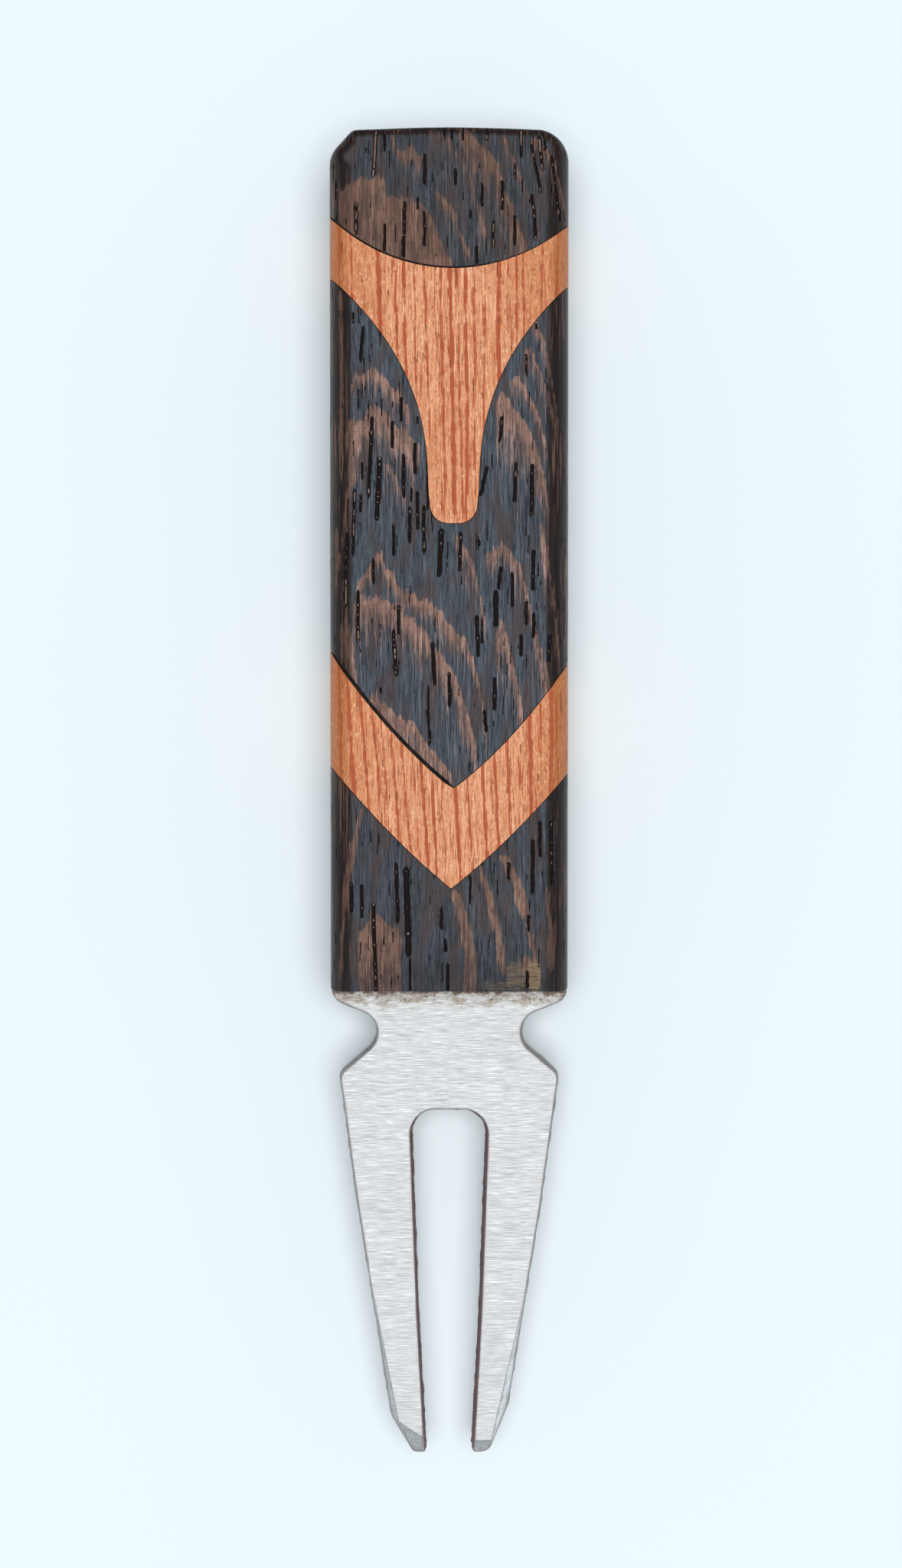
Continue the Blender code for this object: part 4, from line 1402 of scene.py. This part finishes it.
CROWN_FLAMES = [
    (
        [
            (-8.9, 5.6), (-8.3, 5.0), (-8.0, 4.5), (-7.2, 4.1), (-5.1, 4.2), (-4.85, 5.7),
            (-3.5, 5.8), (-2.2, 6.0), (-1.5, 6.9), (-0.9, 8.6), (-0.3, 9.8), (0.4, 11.0),
        ],
        14,
        1.0,
    ),
    (
        [
            (-4.9, 0.4), (-4.4, 0.8), (-4.1, 1.6), (-3.6, 1.9), (-3.0, 1.4), (-2.6, 2.0),
            (-1.5, 2.8),
        ],
        0.8,
        0.8,
    ),
    (
        [
            (0.6, -1.0), (1.2, 0.0), (2.3, 1.2), (3.4, 2.4), (3.9, 3.3), (4.3, 4.8), (4.9, 6.0),
            (5.6, 8.0), (6.4, 10.0),
        ],
        2.6,
        0.95,
    ),
    ([(-1.5, 0.2), (-0.6, 0.5), (0.3, 1.2), (0.9, 2.6), (1.6, 3.6), (2.2, 6.0), (3.2, 9.0)], 1.6, 0.6),
    ([(-1.4, 5.1), (-0.6, 5.3), (0.0, 6.2), (0.6, 7.3), (1.3, 9.2), (1.9, 10.6)], 0.8, 0.75),
    ([(4.1, 0.2), (4.8, 1.8), (5.2, 2.6), (5.8, 4.2), (6.4, 5.5), (6.8, 7.2), (7.4, 9.4)], 0.9, 0.6),
    ([(6.3, 0.6), (7.0, 1.1), (7.9, 2.2), (8.4, 3.2), (8.9, 5.0), (9.4, 7.5)], 1.2, 0.8),
]

FLAMES = [
    (
        [
            (-8.0, 20.9), (-7.3, 19.6), (-6.2, 19.3), (-5.2, 19.8), (-4.6, 20.6), (-4.0, 20.9),
            (-3.5, 21.8), (-2.9, 23.0),
        ],
        1.1,
        0.85,
    ),
    (
        [
            (-8.4, 24.6), (-7.9, 23.7), (-7.2, 23.6), (-6.4, 22.4), (-5.6, 22.3), (-4.8, 22.8),
            (-4.4, 23.6), (-3.8, 23.8), (-3.0, 24.6), (-2.1, 25.4),
        ],
        2.2,
        1.0,
    ),
    ([(-5.3, 26.4), (-4.6, 26.9), (-4.0, 28.4), (-3.2, 29.8)], 1.6, 0.6),
    ([(6.3, 16.0), (6.9, 15.5), (7.6, 16.8), (8.0, 19.0), (8.4, 21.5), (8.9, 25.0)], 1.3, 0.75),
    ([(5.7, 17.8), (6.4, 17.3), (7.0, 18.8), (7.6, 20.4), (8.2, 22.6), (8.6, 25.5)], 1.5, 0.75),
    (
        [
            (4.7, 20.2), (5.4, 19.9), (6.2, 20.8), (6.8, 22.2), (7.2, 23.2), (7.6, 24.8),
            (8.1, 28.0),
        ],
        0.9,
        0.85,
    ),
    (
        [
            (3.5, 21.8), (4.3, 20.9), (4.9, 21.8), (5.4, 22.8), (6.0, 23.4), (6.6, 24.6),
            (7.1, 26.0), (7.6, 28.0), (8.1, 32.0),
        ],
        2.8,
        1.0,
    ),
    (
        [
            (-7.6, 37.2), (-6.9, 35.6), (-6.3, 34.9), (-5.8, 33.7), (-5.3, 33.9), (-5.0, 35.3),
            (-4.4, 35.4), (-4.1, 36.2), (-3.6, 36.9), (-2.9, 37.1), (-2.2, 37.6), (-1.4, 37.6),
            (-1.1, 38.1), (-0.5, 38.6), (0.1, 39.5), (0.7, 40.3), (1.4, 40.8), (1.8, 41.9),
            (2.3, 43.6), (2.7, 46.0), (3.2, 50.0),
        ],
        1.0,
        1.0,
    ),
    (
        [
            (-7.8, 38.4), (-7.2, 37.3), (-6.4, 37.4), (-5.7, 37.2), (-5.0, 37.9), (-3.9, 38.0),
            (-3.6, 38.9), (-2.9, 39.2), (-2.1, 39.6), (-1.6, 40.6), (-0.7, 41.6), (-0.2, 42.6),
            (0.5, 43.6), (1.0, 45.0), (1.6, 47.0), (2.4, 50.0),
        ],
        1.8,
        1.0,
    ),
    (
        [
            (0.2, 31.6), (1.0, 33.0), (1.6, 33.7), (2.1, 35.2), (2.4, 36.6), (2.7, 38.2),
            (3.1, 40.5),
        ],
        1.3,
        0.8,
    ),
    (
        [
            (2.7, 34.2), (3.5, 33.5), (4.1, 33.0), (4.7, 33.4), (5.3, 34.4), (5.8, 35.2),
            (6.2, 37.0), (6.6, 39.0), (6.9, 41.0), (7.4, 43.0), (8.0, 46.0),
        ],
        1.3,
        0.85,
    ),
    ([(3.5, 40.2), (4.2, 39.2), (4.6, 40.4), (5.0, 42.2), (5.4, 44.0), (6.0, 47.0)], 2.6, 0.9),
    ([(6.4, 37.6), (7.0, 40.3), (7.5, 42.0), (8.2, 45.0)], 1.6, 0.8),
    ([(7.0, 30.2), (7.8, 33.6), (8.2, 36.5), (8.6, 40.0), (9.0, 44.0)], 2.2, 0.9),
    ([(-9.0, 39.4), (-8.0, 40.0), (-7.6, 42.0), (-7.1, 44.5)], 3.0, 0.7),
    (
        [
            (-6.6, 45.4), (-5.8, 44.8), (-5.2, 45.6), (-4.4, 46.6), (-3.6, 47.0), (-2.6, 47.6),
            (-2.2, 48.4), (-1.2, 49.6), (-0.4, 50.6), (0.4, 51.8),
        ],
        1.8,
        0.9,
    ),
    (
        [
            (-7.4, 64.0), (-6.6, 63.3), (-6.1, 62.0), (-5.6, 62.7), (-4.9, 63.4), (-4.1, 63.9),
            (-3.6, 64.4),
        ],
        12,
        1.0,
    ),
]

# Growth lines of the orange wood on the front: x, from station, to station, lean, width, strength

STRIPES = [
    (-8.8, 5, 16, 0.02, 0.3, 0.8),
    (-7.9, 5, 17, 0.02, 0.22, 0.7),
    (-6.9, 6, 18, 0.02, 0.18, 0.5),
    (-5.75, 6, 20, 0.02, 0.3, 1.0),
    (-4.45, 7, 22, 0.03, 0.2, 0.9),
    (-3.75, 7, 23, 0.03, 0.26, 0.9),
    (-2.9, 8, 24, 0.03, 0.16, 0.7),
    (-2.2, 8, 26, 0.03, 0.2, 0.8),
    (-1.3, 9, 33, 0.03, 0.16, 0.6),
    (-0.75, 9, 33, 0.02, 0.24, 0.8),
    (0.05, 9, 33, 0.02, 0.3, 1.0),
    (0.65, 9, 33, 0.02, 0.18, 0.8),
    (1.25, 9, 33, 0.01, 0.26, 0.9),
    (2.0, 8, 33, 0.0, 0.2, 0.7),
    (2.75, 8, 26, 0.0, 0.22, 0.7),
    (3.95, 7, 23, 0.0, 0.3, 0.95),
    (4.6, 7, 22, 0.0, 0.16, 0.5),
    (5.25, 6, 21, 0.0, 0.24, 0.8),
    (5.8, 6, 20, 0.0, 0.2, 0.8),
    (7.4, 5, 17, 0.0, 0.26, 0.7),
    (8.5, 5, 16, 0.0, 0.3, 0.7),
    (-8.9, 40, 57, 0.03, 0.3, 0.8),
    (-8.3, 40, 57, 0.06, 0.3, 0.9),
    (-7.4, 41, 58, 0.07, 0.26, 0.9),
    (-6.5, 41, 60, 0.08, 0.2, 0.8),
    (-5.9, 42, 60, 0.08, 0.2, 0.7),
    (-5.0, 43, 62, 0.08, 0.24, 0.8),
    (-4.3, 43, 62, 0.08, 0.2, 0.8),
    (-3.3, 44, 63, 0.07, 0.2, 0.6),
    (-2.6, 45, 63, 0.07, 0.26, 0.9),
    (-1.7, 46, 63, 0.06, 0.24, 0.9),
    (-0.9, 46, 63, 0.05, 0.16, 0.5),
    (0.1, 46, 63, 0.05, 0.28, 1.0),
    (1.1, 46, 63, 0.06, 0.22, 0.8),
    (1.6, 46, 63, 0.06, 0.14, 0.5),
    (2.3, 45, 63, 0.05, 0.24, 0.9),
    (3.4, 44, 62, 0.05, 0.24, 0.9),
    (4.5, 43, 60, 0.04, 0.24, 0.8),
    (5.3, 43, 60, 0.03, 0.16, 0.5),
    (6.3, 42, 60, 0.02, 0.3, 1.0),
    (7.2, 41, 58, 0.01, 0.2, 0.6),
    (8.0, 41, 57, 0.0, 0.36, 0.9),
]

# Narrow bands of the brown figure, each through points given as (x, station, half width)

BANDS = [
    [(-8.6, 13.5, 0.28), (-8.45, 22.0, 0.2), (-8.55, 27.0, 0.14), (-8.85, 33.2, 0.13), (-9.0, 36.3, 0.12)],
    [(-7.7, 23.5, 0.3), (-7.65, 28.0, 0.3), (-8.05, 29.8, 0.22), (-8.35, 32.2, 0.2), (-8.7, 35.0, 0.16)],
    [(-8.15, 39.2, 0.25), (-7.9, 42.0, 0.3)],
    [(-8.6, 52.0, 0.25), (-8.7, 57.0, 0.25)],
    [(-6.9, 54.2, 0.25), (-7.6, 57.5, 0.35), (-8.3, 60.5, 0.3), (-8.7, 68.5, 0.3)],
    [(0.5, 61.0, 0.4), (1.1, 63.0, 0.5), (1.7, 65.5, 0.5), (1.6, 68.6, 0.5)],
    [(2.5, 58.8, 0.3), (3.1, 61.5, 0.35), (3.8, 63.5, 0.35), (4.3, 67.0, 0.3)],
    [(4.3, 58.0, 0.3), (5.2, 59.5, 0.4), (6.0, 62.3, 0.4)],
    [(6.3, 63.2, 0.2), (6.7, 66.0, 0.3)],
    [(7.8, 60.5, 0.25), (8.1, 66.5, 0.3)],
    [(6.1, 66.2, 0.5), (6.6, 67.3, 0.7)],
]


def front_dark_detail():
    """The pores, figure, scratches and scuffs that the photograph shows on the front's dark wood."""
    detail = Detail(100)
    for edge, fade, strength in CROWN_FLAMES:
        detail.add_flame(edge, FLAME_LENGTHENING * fade, strength)
    detail.figure[detail.ys < END_Y - CROWN_FLAMES_END] = 0
    for edge, fade, strength in FLAMES:
        detail.add_flame(edge, FLAME_LENGTHENING * fade, strength)
    for band in BANDS:
        detail.add_figure(band, 0.9)
    detail.add_measured_pores(CROWN_PORES + MIDDLE_PORES + BASE_PORES)
    detail.add_fine_pores(520, 1.6, 0.07, 0.035)
    detail.add_scratches(16, (-7.4, 4.0), (-3.0, 9.0), 1.1, 2.4)
    detail.add_scratches(8, (3.0, 2.0), (6.0, 8.0), 2.2, 1.4)
    detail.add_scratches(10, (-2.0, 60.0), (6.0, 67.0), 1.6, 1.6)
    detail.add_side_streaks(70)
    detail.add_worn_patch(6.7, 67.3, 0.5, 1.25, 0.9)
    detail.add_worn_patch(5.3, 67.4, 0.75, 1.1, 0.45)
    detail.add_worn_patch(3.6, 68.1, 1.1, 0.25, 0.4)
    return detail


def back_dark_detail():
    """The back isn't in the photograph: pores and figure of the same size, amount and lie as the front's."""
    detail = Detail(200)
    chance = np.random.default_rng(201)
    for station in np.arange(-4, 66, 2.6):
        start = chance.uniform(-9, 3)
        reach = chance.uniform(3.5, 8)
        part = np.linspace(0, 1, 9)
        slope = chance.uniform(4, 12)
        hump = chance.uniform(0.5, 2.5)
        steps = np.cumsum(chance.uniform(0, 1, 9))
        down = station + slope * (0.5 * part**1.5 + 0.5 * steps / steps[-1]) - hump * np.sin(math.pi * part)
        edge = np.c_[start + reach * part, down]
        detail.add_flame(edge, chance.uniform(0.8, 3.0), chance.uniform(0.6, 1.0))
    for _ in range(105):
        x = chance.uniform(-9, 9)
        station = chance.uniform(0.3, 66)
        length = chance.uniform(1.0, 4.6)
        lean = chance.normal(0, 0.05) * length
        width, beads = chance.uniform(0.14, 0.3), chance.uniform(0.1, 0.6)
        detail.add_measured_pores([(x, station, x + lean, min(station + length, 68.4), width, beads)])
    detail.add_fine_pores(520, 1.6, 0.07, 0.035)
    detail.add_side_streaks(70)
    return detail


def orange_detail(seed, stripes):
    """The growth lines given, with finer random ones between them, and short fine pores."""
    detail = Detail(seed, keep_x=2)
    for stripe in stripes:
        detail.add_stripe(*stripe)
    for _ in range(210):
        x = detail.chance.uniform(-15, 15)
        station = detail.chance.uniform(-3, 60)
        length = detail.chance.uniform(4, 16)
        strength = detail.chance.uniform(0.25, 0.75)
        detail.add_stripe(x, station, station + length, 0.04, detail.chance.uniform(0.07, 0.15), strength)
    detail.add_fine_pores(900, 0.8, 0.07, 0.025)
    detail.add_fine_pores(60, 2.0, 0.10, 0.04)
    return detail


def back_stripes():
    """Growth lines for the back's orange wood, invented at the size and spacing of the front's."""
    chance = np.random.default_rng(301)
    stripes = []
    for x in np.cumsum(chance.uniform(0.5, 1.4, 30)) - 15:
        stripes.append((x, -3, 62, 0.03, chance.uniform(0.14, 0.34), chance.uniform(0.55, 1.0)))
    return stripes


def add_scale(side, dark, orange, looks):
    """One scale: five pieces of wood and the four seams between them."""
    # Each with its wood and how light it is: the middle of the handle is the palest of the dark wood
    blocks = [
        ("crown_block", dark, "dark_wood", 0.0),
        ("tee_inlay", orange, "orange_wood", 0.0),
        ("middle_block", dark, "dark_wood", 1.0),
        ("chevron_inlay", orange, "orange_wood", 0.0),
        ("base_block", dark, "dark_wood", 0.25),
    ]
    names = list(SEAMS)
    for i, (name, detail, slot, light) in enumerate(blocks):
        upper = shifted_seam(names[i - 1], -1) if i else None
        lower = shifted_seam(names[i], 1) if i < len(names) else BASE_CUT
        add_wood(side, name, upper, lower, detail, looks[slot], light)
    for name in names:
        add_seam_glue(side, name, looks["black_epoxy"])


# Floor, light and camera

FLOOR_REACH = 4.0
CAMERA_PLACE = (0.15 * MM, 0.865 * MM, 350 * MM)
CAMERA_LENS = 97.8

# The colour of the room, by the sine of the height above the horizon
SKY = [
    (0.0, (0.87, 0.94, 0.96)),
    (0.08, (0.73, 0.79, 0.86)),
    (0.3, (0.66, 0.705, 0.77)),
    (0.6, (0.238, 0.257, 0.285)),
    (1.0, (0.22, 0.237, 0.265)),
]


def add_floor():
    """The plain pale floor."""
    mesh = bpy.data.meshes.new("floor")
    corners = [(x * FLOOR_REACH, y * FLOOR_REACH, 0) for x, y in ((-1, -1), (1, -1), (1, 1), (-1, 1))]
    mesh.from_pydata(corners, [], [(0, 1, 2, 3)])
    mesh.materials.append(floor_looks())
    floor = bpy.data.objects.new("floor", mesh)
    bpy.context.scene.collection.objects.link(floor)


def add_light():
    """A wide soft light straight overhead, in a pale room that is darker between the light and the walls."""
    world = bpy.data.worlds.new("studio")
    world.use_nodes = True
    nodes, links = world.node_tree.nodes, world.node_tree.links
    direction = nodes.new("ShaderNodeTexCoord")
    parts = nodes.new("ShaderNodeSeparateXYZ")
    ramp = nodes.new("ShaderNodeValToRGB")
    links.new(direction.outputs["Generated"], parts.inputs[0])
    links.new(parts.outputs["Z"], ramp.inputs["Fac"])
    links.new(ramp.outputs["Color"], nodes["Background"].inputs["Color"])
    elements = ramp.color_ramp.elements
    while len(elements) < len(SKY):
        elements.new(0.5)
    for element, (height, colour) in zip(elements, SKY):
        element.position = height
        element.color = (*colour, 1)
    bpy.context.scene.world = world

    light = bpy.data.lights.new("overhead", "SUN")
    light.angle = math.radians(32)
    light.energy = 2.23
    light.color = (0.945, 0.975, 0.975)
    made = bpy.data.objects.new("overhead", light)
    made.rotation_euler = (math.radians(1.5), math.radians(1.5), 0)
    bpy.context.scene.collection.objects.link(made)


def add_camera():
    """Straight above the middle of the tool, looking down, as the photograph was taken."""
    camera = bpy.data.cameras.new("camera")
    camera.sensor_width = 36
    camera.lens = CAMERA_LENS
    made = bpy.data.objects.new("camera", camera)
    made.location = CAMERA_PLACE
    bpy.context.scene.collection.objects.link(made)
    bpy.context.scene.camera = made


def main():
    looks = {
        "dark_wood": dark_wood(),
        "orange_wood": orange_wood(),
        "black_epoxy": black_epoxy(),
    }
    add_scale(Side("front", FRONT_GLUE_Z, 1), front_dark_detail(), orange_detail(300, STRIPES), looks)
    add_scale(Side("back", BACK_GLUE_Z, -1), back_dark_detail(), orange_detail(400, back_stripes()), looks)
    add_fork_plate(brushed_steel())
    film = bond_epoxy()
    add_bond_film("front", PLATE_HIGH_Z, FRONT_GLUE_Z, film)
    add_bond_film("back", BACK_GLUE_Z, PLATE_LOW_Z, film)
    add_floor()
    add_light()
    add_camera()
    bpy.context.scene.view_settings.view_transform = "Standard"


main()
